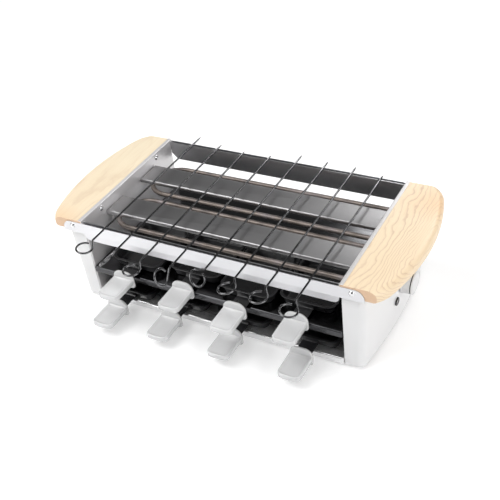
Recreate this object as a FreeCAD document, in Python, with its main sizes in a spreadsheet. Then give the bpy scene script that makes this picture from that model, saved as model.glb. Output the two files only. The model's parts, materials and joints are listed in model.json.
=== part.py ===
import FreeCAD, Part
import math
import os
import Sketcher

# Raclette grill for skewers and pans, in millimetres. X runs along the two skewer rails, Y runs
# from the pans' side to the rear, Z is up from the table, and the pans face -Y.

os.makedirs("parts", exist_ok=True)
doc = FreeCAD.newDocument("RacletteGrill")
sheet = doc.addObject("Spreadsheet::Sheet", "Sizes")
vector = FreeCAD.Vector
nodes = []


# A size holds its number and its formula over the sheet, so sums of sizes stay formulas.
class Size:
    def __init__(self, number, formula):
        self.number = number
        self.formula = formula

    def __float__(self):
        return float(self.number)

    def __add__(self, other):
        other = as_size(other)
        return Size(self.number + other.number, f"({self.formula} + {other.formula})")

    def __sub__(self, other):
        other = as_size(other)
        return Size(self.number - other.number, f"({self.formula} - {other.formula})")

    def __mul__(self, other):
        other = as_size(other)
        return Size(self.number * other.number, f"({self.formula} * {other.formula})")

    def __truediv__(self, other):
        other = as_size(other)
        return Size(self.number / other.number, f"({self.formula} / {other.formula})")

    def __rsub__(self, other):
        return as_size(other) - self

    def __neg__(self):
        return Size(-self.number, f"(-{self.formula})")

    __radd__ = __add__
    __rmul__ = __mul__


def as_size(value):
    return value if isinstance(value, Size) else Size(value, f"({value})")


def root(value):
    return Size(math.sqrt(value.number), f"sqrt({value.formula})")


def size(name, value, note):
    row = len([cell for cell in sheet.getUsedCells() if cell.startswith("B")]) + 1
    sheet.set(f"A{row}", note)
    sheet.set(f"B{row}", str(value))
    sheet.setAlias(f"B{row}", name)
    return Size(value, "Sizes." + name)


# Frame and rails
rail_top = size("rail_top", 124.0, "height of the rails' top edge above the table")
body_depth = size("body_depth", 217.5, "over the outer faces of the two rails")
rail_tab = size("rail_tab", 29.8, "rail's end tab beyond the inner wall's face")
rail_sheet = size("rail_sheet", 1.0, "steel of the rails")
rail_face = size("rail_face", 15.25, "height of a rail's upright face and tabs")
rail_lower = size("rail_lower", 10.75, "height of the rail's lower facet")
rail_lean = size("rail_lean", 2.0, "how far the lower facet leans back")
rail_channel = size("rail_channel", 5.5, "depth of the folded rail")
rail_tab_radius = size("rail_tab_radius", 12.0, "top corner of a rail's tab")
rail_end_radius = size("rail_end_radius", 9.0, "bottom corner of the lower facet")
cavity_width = size("cavity_width", 350.4, "between the two inner walls")
wall_sheet = size("wall_sheet", 0.8, "steel of walls, shelf and plates")
hem_width = size("hem_width", 5.0, "hem of an inner wall over the wood")
wall_flange = size("wall_flange", 5.0, "flanges of an inner wall")
seat_gap = size("seat_gap", 0.3, "gap round pieces that drop in")
slack = size("slack", 0.05, "gap round fasteners and in running fits")

# Wooden handles
wood_rise = size("wood_rise", 2.2, "wood above the rail's top edge")
wood_thickness = size("wood_thickness", 15.0, "wooden handle")
wood_width = size("wood_width", 67.0, "wood out from the inner wall at mid-depth")
wood_arc = size("wood_arc", 307.0, "long outer arc of the wood")
wood_corner_arc = size("wood_corner_arc", 40.0, "tighter arc towards each sawn end of the wood")
wood_corner_depth = size("wood_corner_depth", 17.5, "from a sawn end to where the tighter arc starts")
wood_top_radius = size("wood_top_radius", 8.0, "outer top edge of the wood")
wood_low_radius = size("wood_low_radius", 3.0, "outer bottom edge of the wood")

# Side housings
foot_height = size("foot_height", 4.0, "housings stand this far above the table")
panel_sheet = size("panel_sheet", 1.0, "steel of the side panels")
panel_setback = size("panel_setback", 4.25, "front of a side panel behind the rail's face")
panel_bulge = size("panel_bulge", 32.3, "panel out from the inner wall's face at the bottom, mid-depth")
panel_arc = size("panel_arc", 607.0, "plan radius of a panel's outer face")
panel_corner = size("panel_corner", 9.5, "corner radius of a panel")
panel_lean = size("panel_lean", 0.045, "outward lean of a panel per mm of height")
cover_sheet = size("cover_sheet", 1.2, "bottom covers of the side housings")

# Decks for the pans
base_deck = size("base_deck", 12.2, "top of the base plate")
shelf_deck = size("shelf_deck", 53.5, "top of the middle shelf")
base_lip = size("base_lip", 8.2, "down-turned edge of the base plate")
shelf_lip = size("shelf_lip", 8.0, "down-turned edge of the shelf")
deck_setback = size("deck_setback", 3.0, "decks' lips behind the rail's face")
rivet_radius = size("rivet_radius", 1.6, "shank of the shelf rivets")
rivet_spread = size("rivet_spread", 75.0, "rivets from mid-depth")

# Heating
element_radius = size("element_radius", 3.25, "heating tube")
element_outer = size("element_outer", 72.0, "outer leg of a heating tube from mid-depth")
element_inner = size("element_inner", 9.0, "inner leg of a heating tube from mid-depth")
element_gap = size("element_gap", 14.0, "from the bend of a tube to the left inner wall")
element_stub = size("element_stub", 9.0, "tube beyond the right inner wall")
pin_radius = size("pin_radius", 1.25, "terminal pin of a heating tube")
pin_length = size("pin_length", 7.0, "terminal pin beyond the tube")
bushing_radius = size("bushing_radius", 5.2, "ceramic bushing where it passes the wall")
bushing_collar = size("bushing_collar", 6.9, "collar of a ceramic bushing")
deflector_inner = size("deflector_inner", 21.0, "heat deflector's near edge from mid-depth")
deflector_outer = size("deflector_outer", 59.0, "heat deflector's far edge from mid-depth")
deflector_top = size("deflector_top", 112.3, "top of the heat deflectors")
deflector_lip = size("deflector_lip", 5.0, "down-turned edges of the deflectors")
clip_width = size("clip_width", 14.0, "hook that holds up a tube's bend")

# Pans
pan_width = size("pan_width", 74.0, "pan over its rim")
pan_length = size("pan_length", 90.0, "dish of a pan over its rim")
pan_height = size("pan_height", 13.0, "pan's rim above its bottom")
pan_rim = size("pan_rim", 2.2, "turned-out rim of a pan")
pan_slope = size("pan_slope", 3.0, "how far a pan's sides draw in to the bottom")
pan_sheet = size("pan_sheet", 1.0, "pan sheet")
pan_corner = size("pan_corner", 11.0, "corner radius of a pan at its rim")
pan_neck = size("pan_neck", 22.0, "from the heat guard's back to the dish")
tongue_width = size("tongue_width", 20.0, "steel tongue between a dish and its handle")
tongue_reach = size("tongue_reach", 20.0, "tongue ahead of the heat guard's back")
guard_width = size("guard_width", 30.4, "heat guard of a pan handle")
guard_top = size("guard_top", 17.3, "heat guard above the deck")
guard_drop = size("guard_drop", 6.0, "heat guard below the deck")
guard_thickness = size("guard_thickness", 3.0, "heat guard")
guard_shoulder = size("guard_shoulder", 11.0, "top corners of a heat guard")
guard_heel = size("guard_heel", 4.5, "bottom corners of a heat guard")
grip_length = size("grip_length", 38.0, "grip ahead of the guard's front")
grip_width = size("grip_width", 29.2, "grip")
grip_top = size("grip_top", 7.9, "top of the grip above the deck")
grip_thickness = size("grip_thickness", 7.0, "grip over its skirt")
grip_wall = size("grip_wall", 2.4, "grip's skin and skirt")
grip_tip_radius = size("grip_tip_radius", 7.0, "corners of the grip's tip")
grip_dish = size("grip_dish", 0.6, "thumb hollow in a grip")
upper_pitch_one = size("upper_pitch_one", -117.0, "upper pan 1 from the middle")
upper_pitch_two = size("upper_pitch_two", -34.5, "upper pan 2 from the middle")
upper_pitch_three = size("upper_pitch_three", 44.5, "upper pan 3 from the middle")
upper_pitch_four = size("upper_pitch_four", 120.7, "upper pan 4 from the middle")
lower_pitch_one = size("lower_pitch_one", -129.0, "lower pan 1 from the middle")
lower_pitch_two = size("lower_pitch_two", -50.8, "lower pan 2 from the middle")
lower_pitch_three = size("lower_pitch_three", 36.2, "lower pan 3 from the middle")
lower_pitch_four = size("lower_pitch_four", 129.7, "lower pan 4 from the middle")
upper_pull_one = size("upper_pull_one", 11.1, "guard ahead of the rail's face, upper pan 1")
upper_pull_two = size("upper_pull_two", 2.5, "the same, upper pan 2")
upper_pull_three = size("upper_pull_three", 13.0, "the same, upper pan 3")
upper_pull_four = size("upper_pull_four", 3.7, "the same, upper pan 4")
lower_pull_one = size("lower_pull_one", 21.3, "the same, lower pan 1")
lower_pull_two = size("lower_pull_two", 15.4, "the same, lower pan 2")
lower_pull_three = size("lower_pull_three", 15.6, "the same, lower pan 3")
lower_pull_four = size("lower_pull_four", 15.5, "the same, lower pan 4")

# Skewers
skewer_radius = size("skewer_radius", 1.25, "skewer wire")
skewer_pitch = size("skewer_pitch", 40.25, "from one notch to the next")
skewer_count = size("skewer_count", 8, "notches in each rail")
skewer_spare = size("skewer_spare", 45.5, "skewer from its bend to its point, beyond the depth over the rails")
skewer_point = size("skewer_point", 8.0, "ground point of a skewer")
notch_depth = size("notch_depth", 3.0, "notch in the rails' top edges")
ring_radius = size("ring_radius", 10.0, "ring of a skewer, on the wire's centre line")
ring_ahead = size("ring_ahead", 17.0, "centre of a ring ahead of the bend")
ring_sweep = size("ring_sweep", 302.0, "degrees of wire round a ring")
bend_radius = size("bend_radius", 4.0, "bend between a skewer's rod and its ring")
skewer_pulls = [
    size("skewer_pull_one", 22.0, "bend of skewer 1 ahead of the rail's face"),
    size("skewer_pull_two", 31.5, "the same, skewer 2"),
    size("skewer_pull_three", 38.0, "the same, skewer 3"),
    size("skewer_pull_four", 36.5, "the same, skewer 4"),
    size("skewer_pull_five", 23.0, "the same, skewer 5"),
    size("skewer_pull_six", 27.0, "the same, skewer 6"),
    size("skewer_pull_seven", 28.0, "the same, skewer 7"),
    size("skewer_pull_eight", 36.0, "the same, skewer 8"),
]
skewer_turns = [
    size("skewer_turn_one", 6.0, "turn of skewer 1 about its rod, degrees"),
    size("skewer_turn_two", 142.0, "the same, skewer 2"),
    size("skewer_turn_three", 2.0, "the same, skewer 3"),
    size("skewer_turn_four", 65.0, "the same, skewer 4"),
    size("skewer_turn_five", 229.0, "the same, skewer 5"),
    size("skewer_turn_six", 354.0, "the same, skewer 6"),
    size("skewer_turn_seven", 359.0, "the same, skewer 7"),
    size("skewer_turn_eight", 9.0, "the same, skewer 8"),
]

# Thermostat, knob and pilot lamp
knob_height = size("knob_height", 60.4, "knob's axis above the table, at the panel")
knob_radius = size("knob_radius", 16.5, "knob")
knob_depth = size("knob_depth", 14.5, "knob from its back to its face")
knob_clearance = size("knob_clearance", 1.0, "knob's back from the panel")
knob_recess_radius = size("knob_recess_radius", 11.5, "hollow in the knob's back")
knob_recess_depth = size("knob_recess_depth", 4.5, "depth of that hollow")
knob_groove_radius = size("knob_groove_radius", 13.0, "ring groove in the knob's face")
knob_groove_width = size("knob_groove_width", 1.2, "that groove across")
knob_groove_depth = size("knob_groove_depth", 1.0, "that groove deep")
shaft_radius = size("shaft_radius", 3.0, "thermostat shaft")
shaft_inside = size("shaft_inside", 13.0, "shaft behind the panel's face")
shaft_end = size("shaft_end", 11.5, "shaft beyond the panel's face")
stem_radius = size("stem_radius", 4.5, "thermostat's threaded stem")
stem_proud = size("stem_proud", 3.2, "stem beyond the panel's face")
nut_thickness = size("nut_thickness", 2.4, "thermostat nut")
nut_radius = size("nut_radius", 8.0, "thermostat nut over its corners, halved")
thermostat_side = size("thermostat_side", 26.0, "thermostat block across")
thermostat_depth = size("thermostat_depth", 15.0, "thermostat block along its axis")
tab_length = size("tab_length", 6.0, "terminal tabs of the thermostat")
lamp_height = size("lamp_height", 42.5, "pilot lamp above the table")
lamp_offset = size("lamp_offset", 20.75, "pilot lamp ahead of mid-depth")
lamp_radius = size("lamp_radius", 3.6, "pilot lamp's barrel")
bezel_radius = size("bezel_radius", 5.5, "pilot lamp's bezel")
bezel_proud = size("bezel_proud", 1.8, "bezel beyond the panel")
lamp_inside = size("lamp_inside", 16.0, "lamp's barrel behind the panel")

# Small pieces
screw_radius = size("screw_radius", 1.75, "shank of the handle and rail screws")
screw_head_radius = size("screw_head_radius", 3.75, "domed screw head")
screw_head_height = size("screw_head_height", 2.2, "domed screw head")
screw_length = size("screw_length", 18.0, "shank under the head")
rail_screw_inset = size("rail_screw_inset", 14.0, "rail screws out from the inner wall")
rail_screw_drop = size("rail_screw_drop", 6.0, "rail screws below the rail's top edge")
handle_screw_drop = size("handle_screw_drop", 4.0, "handle screws below the rail's top edge")
handle_screw_spread = size("handle_screw_spread", 66.0, "handle screws from mid-depth")
foot_radius = size("foot_radius", 6.5, "rubber foot")
foot_neck = size("foot_neck", 2.5, "foot where it passes its cover")
foot_head = size("foot_head", 3.4, "head that holds a foot in")
foot_inset = size("foot_inset", 15.5, "feet out from the inner wall")
foot_spread = size("foot_spread", 84.0, "feet from mid-depth")
cover_screw_radius = size("cover_screw_radius", 1.5, "cover screws")
cover_screw_spread = size("cover_screw_spread", 40.0, "cover screws from mid-depth")
block_length = size("block_length", 30.0, "terminal block")
block_height = size("block_height", 14.0, "terminal block")
block_depth = size("block_depth", 12.0, "terminal block out from the wall")
block_centre = size("block_centre", 60.0, "terminal block behind mid-depth")
block_level = size("block_level", 30.0, "terminal block above the table")
gland_inset = size("gland_inset", 9.8, "cord inlet out from the inner wall")
gland_level = size("gland_level", 26.0, "cord inlet above the table")
gland_radius = size("gland_radius", 4.0, "cord inlet where it passes the panel")
gland_collar = size("gland_collar", 6.0, "collar of the cord inlet")
gland_bore = size("gland_bore", 2.9, "bore of the cord inlet")

# Places worked out from the sizes
half_depth = body_depth / 2
wood_half_depth = half_depth - rail_sheet
wood_top = rail_top + wood_rise
wood_bottom = wood_top - wood_thickness
element_height = wood_bottom - bushing_collar - seat_gap
cavity_half = cavity_width / 2
wall_outside = cavity_half + wall_sheet
rail_length = cavity_width + 2 * rail_tab
rail_screw_reach = wall_outside + rail_screw_inset
wood_reach = wall_outside + wood_width
panel_reach = cavity_half + panel_bulge
foot_reach = wall_outside + foot_inset
gland_reach = wall_outside + gland_inset
panel_half_depth = half_depth - panel_setback
wall_half_depth = panel_half_depth - panel_sheet
wall_bottom = foot_height + cover_sheet
rod_height = rail_top - notch_depth + skewer_radius + slack
skewer_length = body_depth + skewer_spare
crease_height = rail_top - rail_face
rail_bottom = crease_height - rail_lower

# The footprint's middle in Y, which is put at the origin: the furthest skewer ring in front, the
# furthest skewer point behind.
longest_pull = max(skewer_pulls, key=float)
shortest_pull = min(skewer_pulls, key=float)
front_reach = half_depth + longest_pull + ring_ahead + ring_radius + skewer_radius
back_reach = skewer_length - shortest_pull - half_depth
centre_shift = (front_reach - back_reach) / 2


def bind(item, name, value):
    item.setExpression(name, as_size(value).formula)


# Every node gets its name and its place, moved so that the footprint's middle is the origin.
def place(item, label, x=0, y=0, z=0, axis=None, angle=0):
    item.Label = label
    if axis is not None:
        item.Placement = FreeCAD.Placement(vector(), FreeCAD.Rotation(axis, 1))
        bind(item, "Placement.Rotation.Angle", angle)
    bind(item, "Placement.Base.x", x)
    bind(item, "Placement.Base.y", y + centre_shift)
    bind(item, "Placement.Base.z", z)
    nodes.append(item)
    return item


def new_body(name):
    return doc.addObject("PartDesign::Body", name)


def new_sketch(body, plane, offset=0):
    support = next(item for item in body.Origin.OriginFeatures if item.Role == plane + "_Plane")
    sketch = body.newObject("Sketcher::SketchObject", "Sketch")
    sketch.AttachmentSupport = (support, [""])
    sketch.MapMode = "FlatFace"
    bind(sketch, ".AttachmentOffset.Base.z", offset)
    return sketch


def hold_point(sketch, edge, end, kind, value):
    value = as_size(value)
    row = sketch.addConstraint(Sketcher.Constraint(kind, -1, 1, edge, end, value.number))
    bind(sketch, f"Constraints[{row}]", value)


def fix_point(sketch, edge, end, x, y):
    hold_point(sketch, edge, end, "DistanceX", x)
    hold_point(sketch, edge, end, "DistanceY", y)


# A turn is an arc from one corner of an outline to the next: its radius, its side (1 bulges to
# the right of the way along), and whether it is the long way round. A half turn is held by its
# centre, which lies on the chord.
class Turn:
    def __init__(self, radius, side=1, long_way=False):
        self.radius = as_size(radius)
        self.side = side
        self.long_way = long_way

    def middle(self, start, end):
        chord = end - start
        half = chord.Length / 2
        radius = max(self.radius.number, half)
        rest = math.sqrt(radius * radius - half * half)
        bulge = radius + rest if self.long_way else radius - rest
        right = vector(chord.y, -chord.x, 0).normalize()
        return start + chord * 0.5 + right * (bulge * self.side)


# Draws lines and arcs through the corners, each a pair of sizes; turns gives the runs that are
# arcs, by the number of the corner where they start.
def draw(sketch, corners, turns=None, closed=True):
    turns = turns or {}
    points = [vector(float(x), float(y), 0) for x, y in corners]
    count = len(corners) if closed else len(corners) - 1
    ends = []
    for row in range(count):
        start, end = points[row], points[(row + 1) % len(points)]
        if row in turns:
            curve = Part.Arc(start, turns[row].middle(start, end), end)
            edge = sketch.addGeometry(curve)
            forward = (turns[row].side == 1)
            ends.append((edge, 1, 2) if forward else (edge, 2, 1))
            if turns[row].radius.number < (end - start).Length / 2 + 0.001:
                level = abs(end.y - start.y) < 0.001
                hold_point(sketch, edge, 3, *(("DistanceY", corners[row][1]) if level
                                              else ("DistanceX", corners[row][0])))
            else:
                rule = sketch.addConstraint(
                    Sketcher.Constraint("Radius", edge, turns[row].radius.number))
                bind(sketch, f"Constraints[{rule}]", turns[row].radius)
        else:
            edge = sketch.addGeometry(Part.LineSegment(start, end))
            ends.append((edge, 1, 2))
    for row, (edge, first, last) in enumerate(ends):
        fix_point(sketch, edge, first, *corners[row])
        if row + 1 < len(ends):
            sketch.addConstraint(
                Sketcher.Constraint("Coincident", edge, last, ends[row + 1][0], ends[row + 1][1]))
        elif closed:
            sketch.addConstraint(Sketcher.Constraint("Coincident", edge, last, ends[0][0], ends[0][1]))
        else:
            fix_point(sketch, edge, last, *corners[-1])
    return sketch


def box_corners(low_x, high_x, low_y, high_y):
    return [(low_x, low_y), (high_x, low_y), (high_x, high_y), (low_x, high_y)]


# A rectangle with four round corners, counter-clockwise.
def draw_round_box(sketch, low_x, high_x, low_y, high_y, radius):
    corners = [
        (low_x + radius, low_y), (high_x - radius, low_y),
        (high_x, low_y + radius), (high_x, high_y - radius),
        (high_x - radius, high_y), (low_x + radius, high_y),
        (low_x, high_y - radius), (low_x, low_y + radius),
    ]
    return draw(sketch, corners, {row: Turn(radius) for row in (1, 3, 5, 7)})


def draw_circle(sketch, x, y, radius):
    radius = as_size(radius)
    circle = Part.Circle(vector(float(x), float(y), 0), vector(0, 0, 1), radius.number)
    edge = sketch.addGeometry(circle)
    fix_point(sketch, edge, 3, x, y)
    rule = sketch.addConstraint(Sketcher.Constraint("Radius", edge, radius.number))
    bind(sketch, f"Constraints[{rule}]", radius)


def solid_from(body, kind, sketch, length, symmetric=False, back=False):
    feature = body.newObject("PartDesign::" + kind, kind)
    feature.Profile = sketch
    if symmetric:
        feature.SideType = "Symmetric"
    feature.Reversed = back
    bind(feature, "Length", length)
    body.Tip = feature
    return feature


def revolve(body, sketch, kind="Revolution"):
    feature = body.newObject("PartDesign::" + kind, kind)
    feature.Profile = sketch
    feature.ReferenceAxis = (sketch, ["V_Axis"])
    feature.Angle = 360
    body.Tip = feature
    return feature


def slab(body, low_x, high_x, low_y, high_y, low_z, high_z):
    sketch = new_sketch(body, "XY", low_z)
    draw(sketch, box_corners(low_x, high_x, low_y, high_y))
    return solid_from(body, "Pad", sketch, high_z - low_z)


# Round holes through a sheet, from a sketch in its middle.
def drill(body, plane, offset, centres, radius, length):
    sketch = new_sketch(body, plane, offset)
    for x, y in centres:
        draw_circle(sketch, x, y, radius)
    return solid_from(body, "Pocket", sketch, length, symmetric=True)


# Rounds the edges of the newest feature that the test picks.
def round_edges(body, radius, picks):
    doc.recompute()
    base = body.Tip
    names = [f"Edge{row}" for row, edge in enumerate(base.Shape.Edges, 1) if picks(edge)]
    feature = body.newObject("PartDesign::Fillet", "Fillet")
    feature.Base = (base, names)
    bind(feature, "Radius", radius)
    body.Tip = feature
    return feature


def compound(name, shapes):
    feature = doc.addObject("Part::Feature", name)
    feature.Shape = Part.makeCompound(shapes)
    return feature


# A rail: a folded trough between the inner walls, with a tab at each end that lies on the wood.
# It is drawn as the front rail, with its face at -Y; the rear one is the same piece turned round.
def make_rail(label, turned):
    body = new_body(label)
    face = -half_depth
    inner = face + rail_channel
    trough = new_sketch(body, "YZ")
    draw(trough, [
        (face, rail_top), (face, crease_height), (face + rail_lean, rail_bottom), (inner, rail_bottom),
        (inner, rail_top), (inner - rail_sheet, rail_top),
        (inner - rail_sheet, rail_bottom + rail_sheet),
        (face + rail_lean + rail_sheet, rail_bottom + rail_sheet),
        (face + rail_sheet, crease_height), (face + rail_sheet, rail_top),
    ])
    solid_from(body, "Pad", trough, cavity_width - 2 * seat_gap, symmetric=True)
    half = rail_length / 2
    tabs = new_sketch(body, "XZ", half_depth)
    shoulder = half - rail_tab_radius
    draw(tabs, [
        (-half, crease_height), (half, crease_height), (half, rail_top - rail_tab_radius),
        (shoulder, rail_top), (-shoulder, rail_top), (-half, rail_top - rail_tab_radius),
    ], {2: Turn(rail_tab_radius), 4: Turn(rail_tab_radius)})
    solid_from(body, "Pad", tabs, rail_sheet, back=True)
    end = cavity_half - seat_gap
    corners = new_sketch(body, "XZ", half_depth)
    for side in (1, -1):
        draw(corners, [
            (side * end, rail_bottom + rail_end_radius), (side * end, rail_bottom),
            (side * (end - rail_end_radius), rail_bottom),
        ], {2: Turn(rail_end_radius, side=-side)} if side > 0 else {2: Turn(rail_end_radius, side=1)})
    solid_from(body, "Pocket", corners, 3 * rail_channel, symmetric=True)
    notch = new_sketch(body, "XZ", half_depth - rail_channel / 2)
    first = skewer_pitch * (1 - skewer_count) / 2
    width = skewer_radius + slack
    draw(notch, [
        (first - width, rail_top + notch_depth), (first - width, rod_height),
        (first + width, rod_height), (first + width, rail_top + notch_depth),
    ], {1: Turn(width)})
    cut = solid_from(body, "Pocket", notch, 2 * rail_channel, symmetric=True)
    row = body.newObject("PartDesign::LinearPattern", "Notches")
    row.Originals = [cut]
    row.Direction = (notch, ["H_Axis"])
    bind(row, "Length", skewer_pitch * (skewer_count - 1))
    bind(row, "Occurrences", skewer_count)
    body.Tip = row
    drill(body, "XZ", half_depth, [
        (side * rail_screw_reach, rail_top - rail_screw_drop) for side in (-1, 1)
    ], screw_radius + slack, 4 * rail_sheet)
    return place(body, label, axis=vector(0, 0, 1), angle=180 if turned else 0)


# A tray is a flat sheet with its four edges turned down.
def make_tray(label, half_width, low_y, high_y, top, lip, holes=None):
    body = new_body(label)
    slab(body, -half_width, half_width, low_y, high_y, top - lip, top)
    hollow = new_sketch(body, "XY", top - lip)
    draw(hollow, box_corners(-half_width + wall_sheet, half_width - wall_sheet,
                             low_y + wall_sheet, high_y - wall_sheet))
    solid_from(body, "Pocket", hollow, lip - wall_sheet, back=True)
    if holes:
        drill(body, "YZ", 0, holes, rivet_radius + slack, cavity_width + 20 * wall_sheet)
    return place(body, label)


def make_inner_wall(label, side):
    body = new_body(label)
    inside, outside = side * cavity_half, side * wall_outside
    flange = side * (wall_outside + wall_flange)
    slab(body, inside, outside, -wall_half_depth, wall_half_depth, wall_bottom, wood_bottom)
    slab(body, inside, outside, -wood_half_depth, wood_half_depth, wood_bottom, wood_top)
    slab(body, inside, side * (cavity_half + hem_width), -wood_half_depth, wood_half_depth,
         wood_top, wood_top + wall_sheet)
    slab(body, outside, flange, -wall_half_depth, -wall_half_depth + wall_sheet, wall_bottom, wood_bottom)
    slab(body, outside, flange, wall_half_depth - wall_sheet, wall_half_depth, wall_bottom, wood_bottom)
    slab(body, outside, flange, -wall_half_depth, wall_half_depth, wall_bottom, wall_bottom + wall_sheet)
    middle = side * (cavity_half + wall_sheet / 2)
    rivets = [(spread * rivet_spread, level) for spread in (-1, 1) for level in rivet_levels]
    drill(body, "YZ", middle, rivets, rivet_radius + slack, 4 * wall_sheet)
    screws = [(spread * handle_screw_spread, rail_top - handle_screw_drop) for spread in (-1, 1)]
    drill(body, "YZ", middle, screws, screw_radius + slack, 4 * wall_sheet)
    if side > 0:
        drill(body, "YZ", middle, [(leg, element_height) for leg in element_legs],
              bushing_radius + slack, 4 * wall_sheet)
    drill(body, "XY", wall_bottom + wall_sheet / 2, [
        (side * (wall_outside + wall_flange / 2), spread * cover_screw_spread) for spread in (-1, 1)
    ], cover_screw_radius + slack, 4 * wall_sheet)
    return place(body, label)


# A wooden handle: a board with a straight inner edge and an arched outer one. It is drawn past its
# ends, its outer edges are rounded, and then the ends are sawn off square.
def make_wood_handle(label, side):
    body = new_body(label)
    middle = wood_reach - wood_arc
    knee_y = wood_half_depth - wood_corner_depth
    knee_run = root(wood_arc * wood_arc - knee_y * knee_y)
    share = 1 - wood_corner_arc / wood_arc
    corner_x, corner_y = middle + knee_run * share, knee_y * share
    end_rise = wood_half_depth - corner_y
    end_run = root(wood_corner_arc * wood_corner_arc - end_rise * end_rise)
    past = 2 * wood_top_radius / wood_corner_arc
    past_x, past_y = corner_x + end_run - past * end_rise, wood_half_depth + past * end_run
    half_outline = [(past_x, past_y), (corner_x + end_run, wood_half_depth), (middle + knee_run, knee_y)]
    corners = [(side * x, -y) for x, y in half_outline]
    corners += [(side * x, y) for x, y in reversed(half_outline)]
    inside = side * wall_outside
    plan = new_sketch(body, "XY", wood_bottom)
    draw(plan, [(inside, -past_y)] + corners + [(inside, past_y)], {
        2: Turn(wood_corner_arc, side=side), 3: Turn(wood_arc, side=side), 4: Turn(wood_corner_arc, side=side),
    })
    solid_from(body, "Pad", plan, wood_thickness)

    def outer_edge(level):
        def test(edge):
            box = edge.BoundBox
            flat = box.ZLength < 0.01 and abs(box.Center.z - level) < 0.01
            return flat and box.YLength > 0.01 and box.XLength > 0.01
        return test

    round_edges(body, wood_top_radius, outer_edge(float(wood_top)))
    round_edges(body, wood_low_radius, outer_edge(float(wood_bottom)))
    saw = new_sketch(body, "XY", wood_top)
    for end in (-1, 1):
        draw(saw, box_corners(inside, side * wood_reach, end * wood_half_depth, end * (past_y + wood_low_radius)))
    solid_from(body, "Pocket", saw, wood_thickness)
    drill(body, "YZ", side * wall_outside, [
        (spread * handle_screw_spread, rail_top - handle_screw_drop) for spread in (-1, 1)
    ], screw_radius + slack, 2 * screw_length + 2)
    for end in (-1, 1):
        drill(body, "XZ", end * wood_half_depth, [
            (side * rail_screw_reach, rail_top - rail_screw_drop)
        ], screw_radius + slack, 2 * screw_length + 2)
    return place(body, label)


# The run of a side panel's outer face in plan, at a height, drawn in from it by an inset:
# straight front, round corner, long arc, round corner, straight back.
def panel_run(height, inset):
    shift = float(panel_lean) * (height - float(foot_height))
    arc = float(panel_arc)
    corner = float(panel_corner)
    centre = float(panel_reach) + shift - arc
    corner_y = float(panel_half_depth) - corner
    corner_x = centre + math.sqrt((arc - corner) ** 2 - corner_y ** 2)
    turn = math.asin(corner_y / (arc - corner))
    front = float(panel_half_depth) - inset
    arc, corner = arc - inset, corner - inset

    def on_corner(angle, end):
        return vector(corner_x + corner * math.cos(angle), end * (corner_y + corner * math.sin(angle)), height)

    knee = (turn + math.pi / 2) / 2
    inner = float(cavity_half)
    return [
        Part.LineSegment(vector(inner, -front, height), on_corner(math.pi / 2, -1)),
        Part.Arc(on_corner(math.pi / 2, -1), on_corner(knee, -1), on_corner(turn, -1)),
        Part.Arc(on_corner(turn, -1), vector(centre + arc, 0, height), on_corner(turn, 1)),
        Part.Arc(on_corner(turn, 1), on_corner(knee, 1), on_corner(math.pi / 2, 1)),
        Part.LineSegment(on_corner(math.pi / 2, 1), vector(inner, front, height)),
    ]


def panel_wire(height, outer_inset, inner_inset):
    outer = panel_run(height, outer_inset)
    inner = panel_run(height, inner_inset)
    ends = [
        Part.LineSegment(outer[-1].EndPoint, inner[-1].EndPoint),
        Part.LineSegment(inner[0].StartPoint, outer[0].StartPoint),
    ]
    return Part.Wire(Part.__sortEdges__([curve.toShape() for curve in outer + inner + ends]))


def panel_face_x(height, offset):
    centre = float(panel_reach) + float(panel_lean) * (height - float(foot_height)) - float(panel_arc)
    return centre + math.sqrt(float(panel_arc) ** 2 - offset ** 2)


def cylinder(radius, start, end):
    return Part.makeCylinder(float(radius), (end - start).Length, start, end - start)


def make_side_panel(label, side):
    thickness = float(panel_sheet)
    low = panel_wire(float(foot_height), 0.0, thickness)
    high = panel_wire(float(wood_bottom), 0.0, thickness)
    shape = Part.makeLoft([low, high], True, True)
    if side > 0:
        tilt = vector(1, 0, -float(panel_lean)).normalize()
        for offset, level, radius in (
            (0.0, float(knob_height), stem_radius), (-float(lamp_offset), float(lamp_height), lamp_radius),
        ):
            middle = vector(panel_face_x(level, offset), offset, level)
            shape = shape.cut(cylinder(radius + slack, middle - tilt * 5, middle + tilt * 5))
        gland = vector(float(gland_reach), float(panel_half_depth), float(gland_level))
        shape = shape.cut(cylinder(gland_radius + slack, gland - vector(0, 5, 0), gland + vector(0, 5, 0)))
    else:
        shape = shape.mirror(vector(), vector(1, 0, 0))
    panel = doc.addObject("Part::Feature", label)
    panel.Shape = shape
    return place(panel, label)


def make_side_cover(label, side):
    inset = float(panel_sheet) + float(seat_gap)
    height = float(foot_height)
    run = panel_run(height, inset)
    closing = Part.LineSegment(run[-1].EndPoint, run[0].StartPoint)
    outline = Part.Wire(Part.__sortEdges__([curve.toShape() for curve in run + [closing]]))
    shape = Part.Face(outline).extrude(vector(0, 0, float(cover_sheet)))
    middle = float(wall_outside + wall_flange / 2)
    for spread in (-1, 1):
        foot = vector(float(foot_reach), spread * float(foot_spread), 0)
        shape = shape.cut(cylinder(foot_neck + slack, foot, foot + vector(0, 0, 20)))
        screw = vector(middle, spread * float(cover_screw_spread), 0)
        shape = shape.cut(cylinder(cover_screw_radius + slack, screw, screw + vector(0, 0, 20)))
    if side < 0:
        shape = shape.mirror(vector(), vector(1, 0, 0))
    cover = doc.addObject("Part::Feature", label)
    cover.Shape = shape
    return place(cover, label)


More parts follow.
